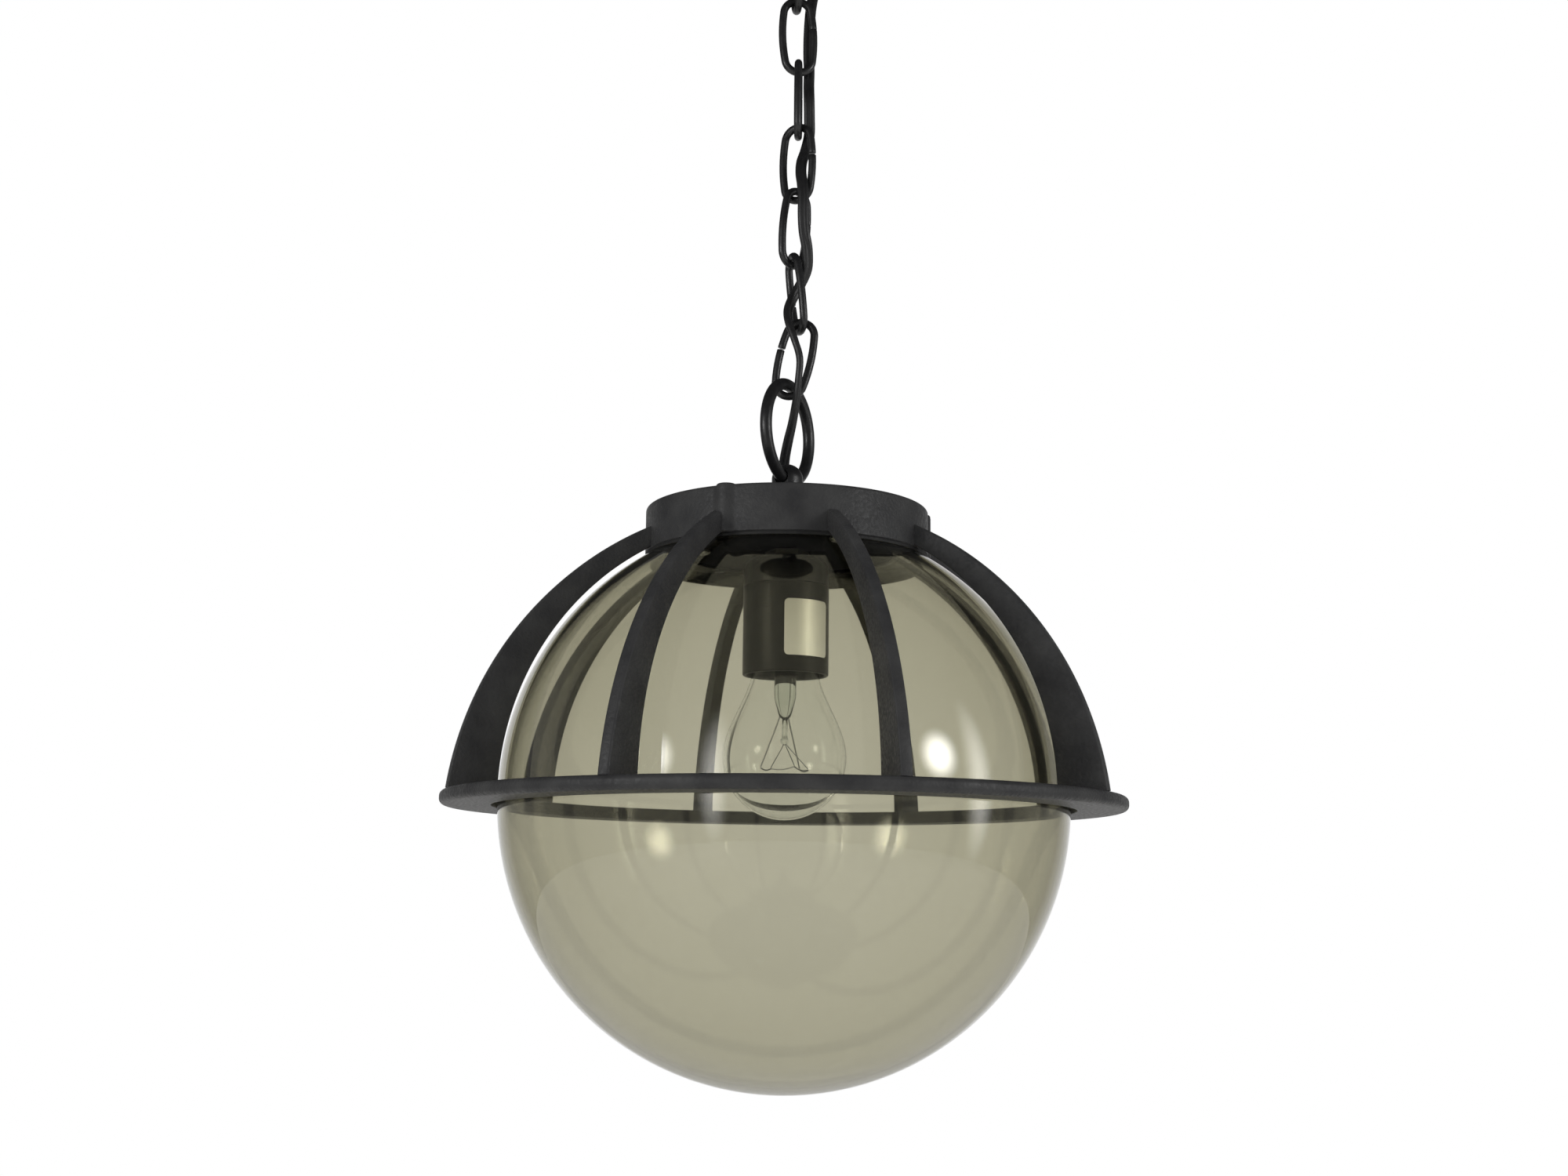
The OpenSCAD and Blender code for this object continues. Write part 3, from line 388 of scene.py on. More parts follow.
def copies_round(tree, start):
    """Copies of the object round the axis, the first one at its own azimuth"""
    points = add(tree, "GeometryNodeMeshLine", {"Count": start["Count"], "Offset": (0, 0, 0)})
    index = add(tree, "GeometryNodeInputIndex").outputs[0]
    step = add(tree, "ShaderNodeMath", {0: 2 * math.pi, 1: start["Count"]}, operation="DIVIDE")
    turn = add(tree, "ShaderNodeMath", {0: index, 1: step.outputs[0], 2: start["First turn"]},
               operation="MULTIPLY_ADD")
    spin = add(tree, "ShaderNodeCombineXYZ", {"Z": turn.outputs[0]})
    return add(tree, "GeometryNodeInstanceOnPoints", {"Points": points.outputs[0],
                                                      "Instance": start["Geometry"],
                                                      "Rotation": spin.outputs[0]}).outputs[0]


bent_wire = grown("bent wire", {"Wire radius": "Float", "Facets": "Int"}, wire_round)
round_axis = grown("copies round the axis", {"Count": "Int", "First turn": "Float"}, copies_round)


def grow(thing, tree, surface, crease, **values):
    """Runs a geometry tree on an object and keeps its result as the object's plain mesh"""
    run = thing.modifiers.new(tree.name, "NODES")
    run.node_group = tree
    given = {"Surface": surface, **{label.replace("_", " "): value for label, value in values.items()}}
    for item in tree.interface.items_tree:
        if item.in_out == "INPUT" and item.name in given:
            run[item.identifier] = given[item.name]
    return settle(thing, crease)


def wired(name, paths, radius, surface, facets, closed=False):
    """Round wires along paths of points"""
    points, edges = [], []
    for path in paths:
        first = len(points)
        points += [Vector(p) * MM for p in path]
        edges += [(k, k + 1) for k in range(first, len(points) - 1)]
        if closed:
            edges.append((len(points) - 1, first))
    mesh = bpy.data.meshes.new(name)
    mesh.from_pydata(points, edges, [])
    mesh.materials.append(surface)
    thing = bpy.data.objects.new(name, mesh)
    bpy.context.scene.collection.objects.link(thing)
    return grow(thing, bent_wire, surface, 50, Wire_radius=radius * MM, Facets=facets)


def repeated(thing, surface, count, first, crease=35):
    """An object and its copies round the axis, the first at an azimuth"""
    return grow(thing, round_axis, surface, crease, Count=count, First_turn=math.radians(first - 90))


# Flat twin flex. It leaves the canopy's bush, weaves through the links and goes into the hood behind the eye.
# Each point has its x, y, height and the turn of the wide side about the vertical
FLEX_W, FLEX_T = 5.2, 3.2
FLEX_ROUTE = [
    (14, 16, -22.5, 0), (14, 16, -30, 0), (14, 16, -38, 0), (13.8, 15.5, -48, 0), (12.5, 13, -60, 0),
    (10.5, 9, -72, 0), (9, 6.5, -82, 0), (8.3, 5.4, -91, 0), (8, 5.2, -99, 0), (8, 5.2, -107, 0),
    (8.3, 5, -115, 0), (8.2, 4.2, -123, 0), (8.4, 2.8, -131, 0), (8.6, 4, -139, 0), (8.6, 5, -147, 0),
    (7, 4, -155, 0), (5.2, 0.5, -162, 0), (4.8, -3.5, -169, 0), (5.5, -7.5, -176, 0), (6, -9, -183, 0),
    (6, -9, -191, 0), (6.5, -8, -199, 0), (8, -5.5, -207, 15), (8, -2, -215, 30), (5, 0.5, -222, 40),
    (1.5, -0.5, -229, 50), (-0.5, -4, -236, 60), (0, -8, -243, 70), (2.5, -10, -251, 80),
    (5, -10, -260, 90), (4.5, -9, -270, 90), (3.5, -6, -279.5, 80), (2, -1.5, -288, 70), (0, 4, -296, 55),
    (-1.5, 9, -304, 40), (-1.5, 13.5, -312, 25), (-0.5, 16.5, -321, 10), (0, 17, -330, 0),
    (0, 17, -339.4, 0),
]
# Heights of the middles of the links and of the ring, where one stretch of flex ends and the next begins
FLEX_BREAKS = [-70.9, -102.4, -134, -165.6, -197.2, -228.6, -260, -295]
# The count of points round the flex's section
SECTION_POINTS = 28
hung = [j for j in frame["joints"] if j["name"].endswith("_swing")]


def smooth_route(points, steps=5):
    """A smooth line through points"""
    line = []
    ends = [points[0], *points, points[-1]]
    for k in range(len(points) - 1):
        a, b, c, d = (Vector(p) for p in ends[k:k + 4])
        for j in range(steps):
            t = j / steps
            line.append((2 * b + (c - a) * t + (2 * a - 5 * b + 4 * c - d) * t ** 2
                         + (3 * b - a - 3 * c + d) * t ** 3) / 2)
    return line + [Vector(points[-1])]


def split_route(line, heights):
    """Cuts a falling line at heights, so that each stretch begins where the one above it ends"""
    stretches, rest = [], list(line)
    for z in heights:
        k = next(i for i, p in enumerate(rest) if p[2] < z)
        share = (rest[k - 1][2] - z) / (rest[k - 1][2] - rest[k][2])
        break_at = rest[k - 1].lerp(rest[k], share)
        stretches.append(rest[:k] + [break_at])
        rest = [break_at] + rest[k:]
    return stretches + [rest]


def twin_section(centre, ahead, turn):
    """The flex's section: two round cores side by side, with a groove between them"""
    core = FLEX_T / 2
    apart = FLEX_W / 2 - core
    wide = Vector((*polar(1, turn), 0))
    wide = (wide - ahead * wide.dot(ahead)).normalized()
    thin = ahead.cross(wide)
    ring = []
    for k in range(SECTION_POINTS):
        x, y = polar(1, 360 * (k + 0.5) / SECTION_POINTS)
        r = abs(x) * apart + math.sqrt(core ** 2 - (apart * y) ** 2)
        ring.append(centre + wide * (r * x) + thin * (r * y))
    return ring


# The route's direction at each of its heights, so that two stretches that meet lie in one line
route = smooth_route(FLEX_ROUTE)
ahead_of = {}
for k, p in enumerate(route):
    near = route[min(k + 1, len(route) - 1)] - route[max(k - 1, 0)]
    ahead_of[round(p[2], 3)] = near.to_3d().normalized()


def flex_stretch(number, stretch):
    """One stretch of the flex, lofted along its part of the route"""
    middles = [p.to_3d() for p in stretch]
    rings = []
    for k, p in enumerate(stretch):
        near = middles[min(k + 1, len(stretch) - 1)] - middles[max(k - 1, 0)]
        heading = ahead_of.get(round(p[2], 3), near.normalized())
        rings.append(twin_section(middles[k], heading, p[3]))
    piece = meshed(f"flex_{number}", [lofted(rings)], pvc, 60)
    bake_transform(piece)
    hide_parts("flex")


for number, (stretch, joint) in enumerate(zip(split_route(route, FLEX_BREAKS), hung), 1):
    flex_stretch(number, stretch)

# Ceiling parts: the canopy with its bush and its loop
CANOPY_R, CANOPY_H, CANOPY_WALL, CANOPY_EDGE = 50, 28, 1.5, 6
SEAT = 0.02  # the gap that the CAD leaves between seated neighbours
BUSH_R, BUSH_HOLE, BUSH_FLANGE = 4.9, 3.1, 1.6
CANOPY_BUSH = (14, 16)
STUD_R, STUD_CLEAR, BRIDGE_H, STUD_OVER = 4.95, 0.1, 13, 9.5
LOOP_R, LOOP_WIRE, LOOP_DROP, LOOP_BASE_R, LOOP_BASE_H = 9, 5, 18.5, 8.5, 5


def hole(x, y, r, z0, z1):
    """A round cutter between two heights"""
    return moved(turned([(0, z0), (r, z0), (r, z1), (0, z1)], 64), Matrix.Translation((x, y, 0)))


floor_z = -CANOPY_H + CANOPY_WALL
inner_edge = CANOPY_EDGE - CANOPY_WALL
bell = [(0, -CANOPY_H)] + arc((CANOPY_R - CANOPY_EDGE, -CANOPY_H + CANOPY_EDGE), CANOPY_EDGE, -90, 0, 10)
bell += eased([(CANOPY_R, -1, 0), (CANOPY_R, 0, 0.6), (CANOPY_R - CANOPY_WALL, 0, 0.6),
               (CANOPY_R - CANOPY_WALL, -1, 0)])
bell += arc((CANOPY_R - CANOPY_EDGE, -CANOPY_H + CANOPY_EDGE), inner_edge, 0, -90, 8) + [(0, floor_z)]
through = (-40, -20)
canopy = cut(meshed("canopy_bell", [turned(bell)], powder_coat),
             [hole(0, 0, STUD_R + STUD_CLEAR, *through), hole(*CANOPY_BUSH, BUSH_R, *through)])
mount(canopy, "ceiling", "black_powder_coat", "canopy")

loop_z = -CANOPY_H - LOOP_DROP
stud = eased([(0, -BRIDGE_H + STUD_OVER, 0), (STUD_R, -BRIDGE_H + STUD_OVER, 0.8), (STUD_R, -CANOPY_H, 0),
              (LOOP_BASE_R, -CANOPY_H, 0.3), (LOOP_BASE_R, -CANOPY_H - LOOP_BASE_H, 1.2),
              (LOOP_WIRE / 2, -CANOPY_H - LOOP_BASE_H, 0.8), (LOOP_WIRE / 2, loop_z + LOOP_R, 0),
              (0, loop_z + LOOP_R, 0)])
loop = meshed("canopy_loop_ring", [
    turned(stud, 64),
    lofted([[((LOOP_R + r) * c, h, loop_z + (LOOP_R + r) * s) for r, h in
             (polar(LOOP_WIRE / 2, 360 * j / 20) for j in range(20))]
            for c, s in (polar(1, 360 * k / 64) for k in range(64))], closed=True)], powder_coat, 40)
mount(loop, "ceiling", "black_powder_coat", "canopy_loop")


def bush(name, body, node, x, y, z0, z1):
    """A rubber bush in a wall, with soft lips on both sides"""
    lip = BUSH_R + BUSH_FLANGE
    outline = eased([(BUSH_HOLE, z0 - BUSH_FLANGE, 0.5), (lip, z0 - BUSH_FLANGE, 0.7), (lip, z0 - SEAT, 0.3),
                     (BUSH_R, z0 - SEAT, 0), (BUSH_R, z1 + SEAT, 0), (lip, z1 + SEAT, 0.3),
                     (lip, z1 + BUSH_FLANGE, 0.7), (BUSH_HOLE, z1 + BUSH_FLANGE, 0.5)])
    ring = moved(turned(outline, 64), Matrix.Translation((x, y, 0)))
    mount(meshed(name, [ring], rubber), body, "black_rubber", node)


bush("canopy_bush_ring", "ceiling", "canopy_bush", *CANOPY_BUSH, -CANOPY_H, floor_z)

# Chain: each link's lean to the right, its turn about the vertical, whether its butt joint is in its lower
# half, and the joint's gap
LINK_WIRE, LINK_L, LINK_W, BOW_R, LINK_CLEAR = 3.6, 39.3, 18.4, 6.5, 0.5
LINKS = [(-4, -82, False, 0.2), (-2, 8, False, 0.2), (0, 88, False, 0.2), (0, -24, False, 0.9),
         (4.2, 42, False, 0.2), (-6.8, 108, True, 0.9), (12, 172, False, 0.9)]
BUTT_H = 21.5
HOOP_WIRE, HOOP_R, HOOP_TURN = 5.4, 22.3, 64


def link_line(butt_low, gap):
    """The middle of a link's wire, from one face of its butt joint round to the other"""
    half, side = (LINK_L - LINK_WIRE) / 2, (LINK_W - LINK_WIRE) / 2
    up = half - BOW_R
    flank_r = (side ** 2 + up ** 2 - BOW_R ** 2) / (2 * (side - BOW_R))
    reach = math.degrees(math.atan2(up, flank_r - side))
    butt = math.degrees(math.asin((half - BUTT_H if butt_low else BUTT_H - half) / flank_r))
    slit = math.degrees(gap / 2 / flank_r)
    right = (side - flank_r, half)
    return (arc(right, flank_r, butt + slit, reach, 5)[:-1]
            + arc((0, half + up), BOW_R, reach, 180 - reach, 20)[:-1]
            + arc((flank_r - side, half), flank_r, 180 - reach, 180 + reach, 10)[:-1]
            + arc((0, half - up), BOW_R, 180 + reach, 360 - reach, 20)[:-1]
            + arc(right, flank_r, -reach, butt - slit, 5))


bow_low = Vector((0, 0, loop_z - LOOP_R + (LOOP_WIRE - LINK_WIRE) / 2))
for number, (lean, turn, butt_low, gap) in enumerate(LINKS, 1):
    tip = Matrix.Rotation(math.radians(lean), 3, "Y")
    spin = Matrix.Rotation(math.radians(turn), 3, "Z")
    across = tip @ spin @ Vector((0, 1, 0))
    down = (across * across.z - Vector((0, 0, 1))).normalized()
    centre = (bow_low + Vector((0, 0, LINK_WIRE + LINK_CLEAR)) + down * BOW_R
              - tip @ Vector((0, 0, LINK_L - LINK_WIRE - 2 * BOW_R)))
    line = [centre + tip @ (spin @ Vector((x, 0, z)) - Vector((0, 0, BOW_R)))
            for x, z in link_line(butt_low, gap)]
    link = ease(wired(f"link_{number}", [line], LINK_WIRE / 2, chain_enamel, 20), 0.25, 60)
    mount(link, f"chain_link_{number}", "black_chain_steel", f"chain_link_{number}")
    bow_low = centre + down * BOW_R

hoop_z = bow_low.z + (LINK_WIRE + HOOP_WIRE) / 2 + LINK_CLEAR - HOOP_R
hoop_at = Matrix.Translation((0, 0, hoop_z)) @ Matrix.Rotation(math.radians(HOOP_TURN), 4, "Z")
hoop = wired("ring_wire", [[hoop_at @ Vector((x, 0, z)) for x, z in
                            (polar(HOOP_R, 360 * k / 120) for k in range(120))]],
             HOOP_WIRE / 2, chain_enamel, 28, closed=True)
mount(hoop, "suspension_ring", "black_chain_steel", "suspension_ring")

# Hood and guard, with heights from the globe's centre
COLLAR_R, COLLAR_WALL, COLLAR_H, HOOD_EDGE = 63.5, 3, 20.8, 1.5
SEAL_H, SEAL_W = 1.8, 2.4
COLLAR_Z = math.sqrt(GLOBE_R ** 2 - COLLAR_R ** 2) + SEAL_H
HOOD_Z = COLLAR_Z + COLLAR_H
HOOD_UNDER = HOOD_Z - COLLAR_WALL
RIM_EASE, BORE_EASE, CORNER_EASE, TOP_ROUND = 0.5, 0.3, 1, 8
PAD_R, PAD_LAP = 8, 0.2
BOSSES, BOSS_R, BOSS_OUT, BOSS_UP, BOSS_TURN = 3, 4.5, 2, 0.5, -25
BOSS_FILLET, BOSS_DEEP, BOSS_SET, BOSS_EDGE = 0.9, 3, 0.12, 1.1
BOSS_AT = COLLAR_R + BOSS_OUT - BOSS_R
HOOD_BUSH = (0, 17)
EYE_R, EYE_HOLE_H, EYE_DOME_UP, EYE_HOLE_R = 7.1, 14.8, 0.4, 3.35
EYE_STUD, EYE_BASE, EYE_HOLE_SET = 4.5, 2, 0.25
RING_R, RING_IN, RING_T, RING_EDGE, RING_DOWN = 149.7, 127.6, 5.9, 2.4, 0.7
RING_TOP = RING_T / 2 - RING_DOWN
RIBS, RIB_TURN, RIB_T, RIB_IN, RIB_FOOT, RIB_ROOT, RIB_ARC = 8, 17.8, 5, 127, 21.4, 9.8, 152.2
RIB_EASE_IN, RIB_EASE_OUT = 0.5, 0.9


def collar_outline(inset):
    """The collar seen from above, a point at each degree, with its bosses standing out on small fillets"""
    points = []
    for a in range(360):
        reach = COLLAR_R - inset
        for b in range(BOSSES):
            off = (a - (BOSS_TURN - 90 + 360 // BOSSES * b) + 180) % 360 - 180
            side = BOSS_AT * math.sin(math.radians(off))
            if abs(off) < 30 and abs(side) < BOSS_R:
                bump = BOSS_AT * math.cos(math.radians(off)) + math.sqrt(BOSS_R ** 2 - side ** 2) - inset
                ease_in = max(0.0, 1 - abs(reach - bump) / BOSS_FILLET)
                reach = max(reach, bump) + BOSS_FILLET * ease_in ** 2 / 4
        points.append(polar(reach, a))
    return points


def hood_shell():
    """The hood's cap and collar as one closed skin: up the outside, over the edge and back down the inside"""
    levels = [(COLLAR_Z, RIM_EASE), (COLLAR_Z + RIM_EASE, 0), (HOOD_Z - HOOD_EDGE, 0)]
    levels += [(HOOD_Z - HOOD_EDGE + h, HOOD_EDGE - r) for r, h in
               (polar(HOOD_EDGE, 15 * k) for k in range(1, 7))]
    rings = [[(x, y, z) for x, y in collar_outline(inset)] for z, inset in levels]
    bore = COLLAR_R - COLLAR_WALL
    rings += [[(*polar(r, k), z) for k in range(360)] for r, z in
              [(COLLAR_R - TOP_ROUND, HOOD_Z), (PAD_R, HOOD_Z), (PAD_R, HOOD_UNDER),
               (bore - CORNER_EASE, HOOD_UNDER), (bore, HOOD_UNDER - CORNER_EASE),
               (bore, COLLAR_Z + BORE_EASE), (bore + BORE_EASE, COLLAR_Z)]]
    return lofted(rings, closed=True)


boss_top = moved(turned(eased([(0, HOOD_Z - BOSS_DEEP, 0), (BOSS_R - BOSS_SET, HOOD_Z - BOSS_DEEP, 0),
                               (BOSS_R - BOSS_SET, HOOD_Z + BOSS_UP, BOSS_EDGE), (0, HOOD_Z + BOSS_UP, 0)]),
                        48), Matrix.Translation((BOSS_AT, 0, 0)))
pad_out = PAD_R + PAD_LAP
centre_pad = turned([(0, HOOD_UNDER), (pad_out, HOOD_UNDER), (pad_out, HOOD_Z), (0, HOOD_Z)], 64)
boss_tops = [moved(boss_top, azimuth(BOSS_TURN + 360 // BOSSES * k)) for k in range(BOSSES)]
hood = meshed("hood_casting", at_lamp(hood_shell(), centre_pad, *boss_tops), powder_coat, 30)
mount(hood, "lamp", "black_powder_coat", "hood")
bush("hood_bush_ring", "lamp", "hood_bush", *HOOD_BUSH, HOOD_UNDER + LAMP, HOOD_Z + LAMP)

dome_z = HOOD_Z + EYE_HOLE_H + EYE_DOME_UP
eye_body = turned([(0, HOOD_UNDER - EYE_STUD), (STUD_R, HOOD_UNDER - EYE_STUD), (STUD_R, HOOD_Z + SEAT)]
                  + eased([(EYE_R, HOOD_Z + SEAT, 0.4), (EYE_R, HOOD_Z + EYE_BASE, 0),
                           (0, HOOD_Z + EYE_BASE, 0)])[:-1]
                  + arc((0, dome_z), EYE_R, 0, 90, 20), 96)
# Its hole follows the suspension ring's curve
eye_hole = lofted([[(math.cos(t) * (HOOP_R + r), h, HOOD_Z + EYE_HOLE_H + HOOP_R - EYE_HOLE_SET
                     + math.sin(t) * (HOOP_R + r))
                    for r, h in (polar(EYE_HOLE_R, 360 * j / 32) for j in range(32))]
                   for t in (2 * math.pi * k / 128 for k in range(128))], closed=True)
eye_hole = moved(eye_hole, Matrix.Rotation(math.radians(HOOP_TURN), 4, "Z"))
eye_piece = cut(meshed("eye_boss", at_lamp(eye_body), chain_enamel), at_lamp(eye_hole))
mount(ease(eye_piece, 0.3, 50), "lamp", "black_chain_steel", "suspension_eye")

guard = turned(eased([(RING_IN, RING_TOP - RING_T, 0.5), (RING_R, RING_TOP - RING_T, RING_EDGE),
                      (RING_R, RING_TOP, RING_EDGE), (RING_IN, RING_TOP, 0.5)], 8), 256)
mount(meshed("ring_casting", at_lamp(guard), powder_coat), "lamp", "black_powder_coat", "guard_ring")


def rib_plate():
    """One rib at azimuth 90: a flat plate between two arcs, with rounded edges"""
    foot, root = Vector((RIB_IN + RIB_FOOT, RING_TOP)), Vector((COLLAR_R, COLLAR_Z + RIB_ROOT))
    chord = root - foot
    back = math.sqrt(RIB_ARC ** 2 - chord.length_squared / 4)
    centre = (foot + root) / 2 + Vector((-chord.y, chord.x)).normalized() * back
    out_a, out_b = (math.degrees(math.atan2(p.y - centre.y, p.x - centre.x)) for p in (foot, root))
    in_a = math.degrees(math.asin(RING_TOP / RIB_IN))
    in_b = math.degrees(math.acos(COLLAR_R / RIB_IN))
    steps = 60
    outer, inner = arc(centre, RIB_ARC, out_a, out_b, steps), arc((0, 0), RIB_IN, in_a, in_b, steps)
    rings = []
    for (ox, oz), (ix, iz) in zip(outer, inner):
        wide = Vector((ox - ix, 0, oz - iz))
        corners = [(0, -RIB_T / 2, RIB_EASE_IN), (wide.length, -RIB_T / 2, RIB_EASE_OUT),
                   (wide.length, RIB_T / 2, RIB_EASE_OUT), (0, RIB_T / 2, RIB_EASE_IN)]
        rings.append([Vector((ix, 0, iz)) + wide.normalized() * u + Vector((0, v, 0))
                      for u, v in eased(corners, 4)])
    return lofted(rings)


ribs = repeated(meshed("ribs", at_lamp(rib_plate()), powder_coat), powder_coat, RIBS, RIB_TURN)
mount(ribs, "lamp", "black_powder_coat", *(f"rib_{k + 1}" for k in range(RIBS)))

seal_top, seal_r = COLLAR_Z - SEAT, COLLAR_R - SEAL_W
seal_low = [math.sqrt((GLOBE_R + SEAT) ** 2 - r ** 2) for r in (seal_r, COLLAR_R)]
seal = turned(eased([(seal_r, seal_low[0], 0), (COLLAR_R, seal_low[1], 0.3), (COLLAR_R, seal_top, 0.5),
                     (seal_r, seal_top, 0)]), 160)
mount(meshed("seal_ring", at_lamp(seal), rubber), "seal", "black_rubber", "globe_seal")

# Globe: one shell from its pole up to its neck, with the thread that the gallery holds
GLOBE_WALL, NECK_IN, NECK_GAP, NECK_RIM, NECK_EASE = 3, 12, 1.4, 2, 1.2
NECK_R, NECK_TOP = COLLAR_R - NECK_IN, HOOD_UNDER - NECK_GAP
THREAD_Z, THREAD_H, PITCH, TURNS, TURN_STEPS = 117.598, 1.6, 6, 1.1, 60
THREAD_ROOT, ROOT_HALF, CREST_HALF = 0.6, 1.4, 0.7
GLOBE_STEPS = 120
shoulder = math.degrees(math.acos(NECK_R / GLOBE_R))
inner_shoulder = math.degrees(math.acos((NECK_R - GLOBE_WALL) / (GLOBE_R - GLOBE_WALL)))
shell = arc((0, 0), GLOBE_R, -90, shoulder, GLOBE_STEPS)
shell += eased([(NECK_R, NECK_TOP - NECK_RIM, 0), (NECK_R, NECK_TOP, NECK_EASE),
                (NECK_R - GLOBE_WALL, NECK_TOP, NECK_EASE), (NECK_R - GLOBE_WALL, NECK_TOP - NECK_RIM, 0)])
shell += arc((0, 0), GLOBE_R - GLOBE_WALL, inner_shoulder, -90, GLOBE_STEPS)
root_r, crest_r = NECK_R - THREAD_ROOT, NECK_R + THREAD_H
thread = []
for k in range(int(TURNS * TURN_STEPS) + 1):
    x, y = polar(1, 360 * k / TURN_STEPS)
    z = THREAD_Z + PITCH * k / TURN_STEPS
    thread.append([(r * x, r * y, z + w) for r, w in ((root_r, -ROOT_HALF), (root_r, ROOT_HALF),
                                                      (crest_r, CREST_HALF), (crest_r, -CREST_HALF))])
globe = meshed("globe_shell", at_lamp(turned(shell, 180), lofted(thread)), smoked, 40)
mount(globe, "globe", "smoked_glass", "globe")

# Gear plate and lampholder under the hood
PLATE_R, PLATE_T, POST_H, POST_AT, POST_TURN = 47, 1.5, 13, 38, 35
PLATE_Z = HOOD_UNDER - POST_H - PLATE_T
HEAD_R, HEAD_LOW, SHANK_R, SHANK_UP, RECESS_HALF, RECESS_DEEP = 3.4, 1.82, 1.5, 10, 0.35, 0.9
HOLDER_R, HOLDER_WALL, DOME_H, SKIRT_H = 19.2, 1.8, 13, 40
HOLDER_DROP, HOLDER_ROOF, HOLDER_EDGE, NIPPLE_CLEAR = 3.7, 3, 5, 0.05
HOLDER_TOP = PLATE_Z - HOLDER_DROP
HOLDER_DOME_Z = HOLDER_TOP - DOME_H
SKIRT_Z = HOLDER_DOME_Z - SKIRT_H
plate_in, plate_up = STUD_R + STUD_CLEAR, PLATE_Z + PLATE_T
plate = turned(eased([(plate_in, PLATE_Z, 0.2), (PLATE_R, PLATE_Z, 0.5), (PLATE_R, plate_up, 0.5),
                      (plate_in, plate_up, 0.2)]))
# The plate's darker, almost glossless coat is painted shade
mount(meshed("gear_disc", at_lamp(plate), shaded_powder_coat), "lamp", "black_powder_coat", "gear_plate")


def cross_head(r, low, high, shank_r, shank_top):
    """A screw, head down, and the two cutters of its cross recess"""
    half, top = RECESS_HALF, low + RECESS_DEEP
    recess = [block((-r * 0.6, -half, low - 1), (r * 0.6, half, top)),
              block((-half, -r * 0.6, low - 1), (half, r * 0.6, top))]
    body = turned(eased([(0, low, 0), (r * 0.7, low, 0.8), (r, low + 0.8, 0.3), (r, high, 0.15),
                         (shank_r, high, 0), (shank_r, shank_top, 0.3), (0, shank_top, 0)], 4), 48)
    return body, recess


body, recess = cross_head(HEAD_R, PLATE_Z - HEAD_LOW, PLATE_Z - SEAT, SHANK_R, plate_up + SHANK_UP)
place = lamp_at @ Matrix.Translation((POST_AT, 0, 0))
screw = meshed("plate_screw_set", [moved(body, place)], zinc, 50)
for cutter in recess:
    cut(screw, [moved(cutter, place)], 50)
mount(repeated(screw, zinc, 3, POST_TURN, 50), "lamp", "zinc_plated_steel", "plate_screws")

holder_in, nipple_r = HOLDER_R - HOLDER_WALL, STUD_R + NIPPLE_CLEAR
cap = eased([(HOLDER_R, HOLDER_DOME_Z, 0.4), (HOLDER_R, HOLDER_TOP, HOLDER_EDGE), (nipple_r, HOLDER_TOP, 0.3),
             (nipple_r, HOLDER_TOP - HOLDER_ROOF, 0.3), (holder_in, HOLDER_TOP - HOLDER_ROOF, 2),
             (holder_in, HOLDER_DOME_Z, 0.2)], 8)
mount(meshed("holder_cap", at_lamp(turned(cap, 96)), phenolic), "lamp", "black_thermoplastic", "holder_dome")
joint_z = HOLDER_DOME_Z - SEAT
sleeve = eased([(HOLDER_R, SKIRT_Z, 0.6), (HOLDER_R, joint_z, 0.4), (holder_in, joint_z, 0.2),
                (holder_in, SKIRT_Z, 0.6)], 4)
# The latch's outline: a groove up one side and one along its foot. Each cutter stands out past the skirt,
# and the second laps a little over the first
LATCH_TURN, LATCH_DOWN, GROOVE, LATCH_W, LATCH_H, CUT_OUT, CUT_LAP = -32, 4, 0.5, 7, 8, 2, 0.01
latch_z = HOLDER_DOME_Z - LATCH_DOWN - LATCH_H
latch = [block((HOLDER_R - GROOVE, -LATCH_W / 2, latch_z),
               (HOLDER_R + CUT_OUT, -LATCH_W / 2 + GROOVE, latch_z + LATCH_H)),
         block((HOLDER_R - GROOVE, -LATCH_W / 2 - CUT_LAP, latch_z - CUT_LAP),
               (HOLDER_R + CUT_OUT, LATCH_W / 2, latch_z + GROOVE))]
skirt = meshed("holder_sleeve", at_lamp(turned(sleeve)), phenolic)
for groove in latch:
    cut(skirt, at_lamp(moved(groove, azimuth(LATCH_TURN))))
mount(skirt, "lamp", "black_thermoplastic", "holder_skirt")

# Label, left bare: a film round the skirt with rounded corners
LABEL_TURN, LABEL_ARC, LABEL_UP, LABEL_H, LABEL_T, LABEL_CORNER = 32, 68, 7, 25, 0.15, 2
label_low, label_r = SKIRT_Z + LABEL_UP, HOLDER_R + SEAT
half_label = math.radians(LABEL_ARC / 2) * HOLDER_R


def label_half_height(x):
    """Half the label's height at a distance along it from its middle, less at its rounded corners"""
    into = abs(x) - (half_label - LABEL_CORNER)
    drop = LABEL_CORNER - math.sqrt(max(0, LABEL_CORNER ** 2 - into ** 2)) if into > 0 else 0
    return LABEL_H / 2 - drop


stops = sorted({s * (half_label - LABEL_CORNER * (1 - math.sin(math.radians(15 * k)))) for k in range(7)
                for s in (-1, 1)} | {half_label * k / 20 for k in range(-17, 18)})
label_rings = []
for x in stops:
    c, s = polar(1, math.degrees(x / HOLDER_R))
    tall = label_half_height(x)
    label_rings.append([(r * c, r * s, label_low + LABEL_H / 2 + z) for r, z in
                        ((label_r, -tall), (label_r, tall), (label_r + LABEL_T, tall),
                         (label_r + LABEL_T, -tall))])
film = at_lamp(moved(lofted(label_rings), azimuth(LABEL_TURN)))
mount(meshed("label_film", film, label_film), "lamp", "bare_label", "holder_label")

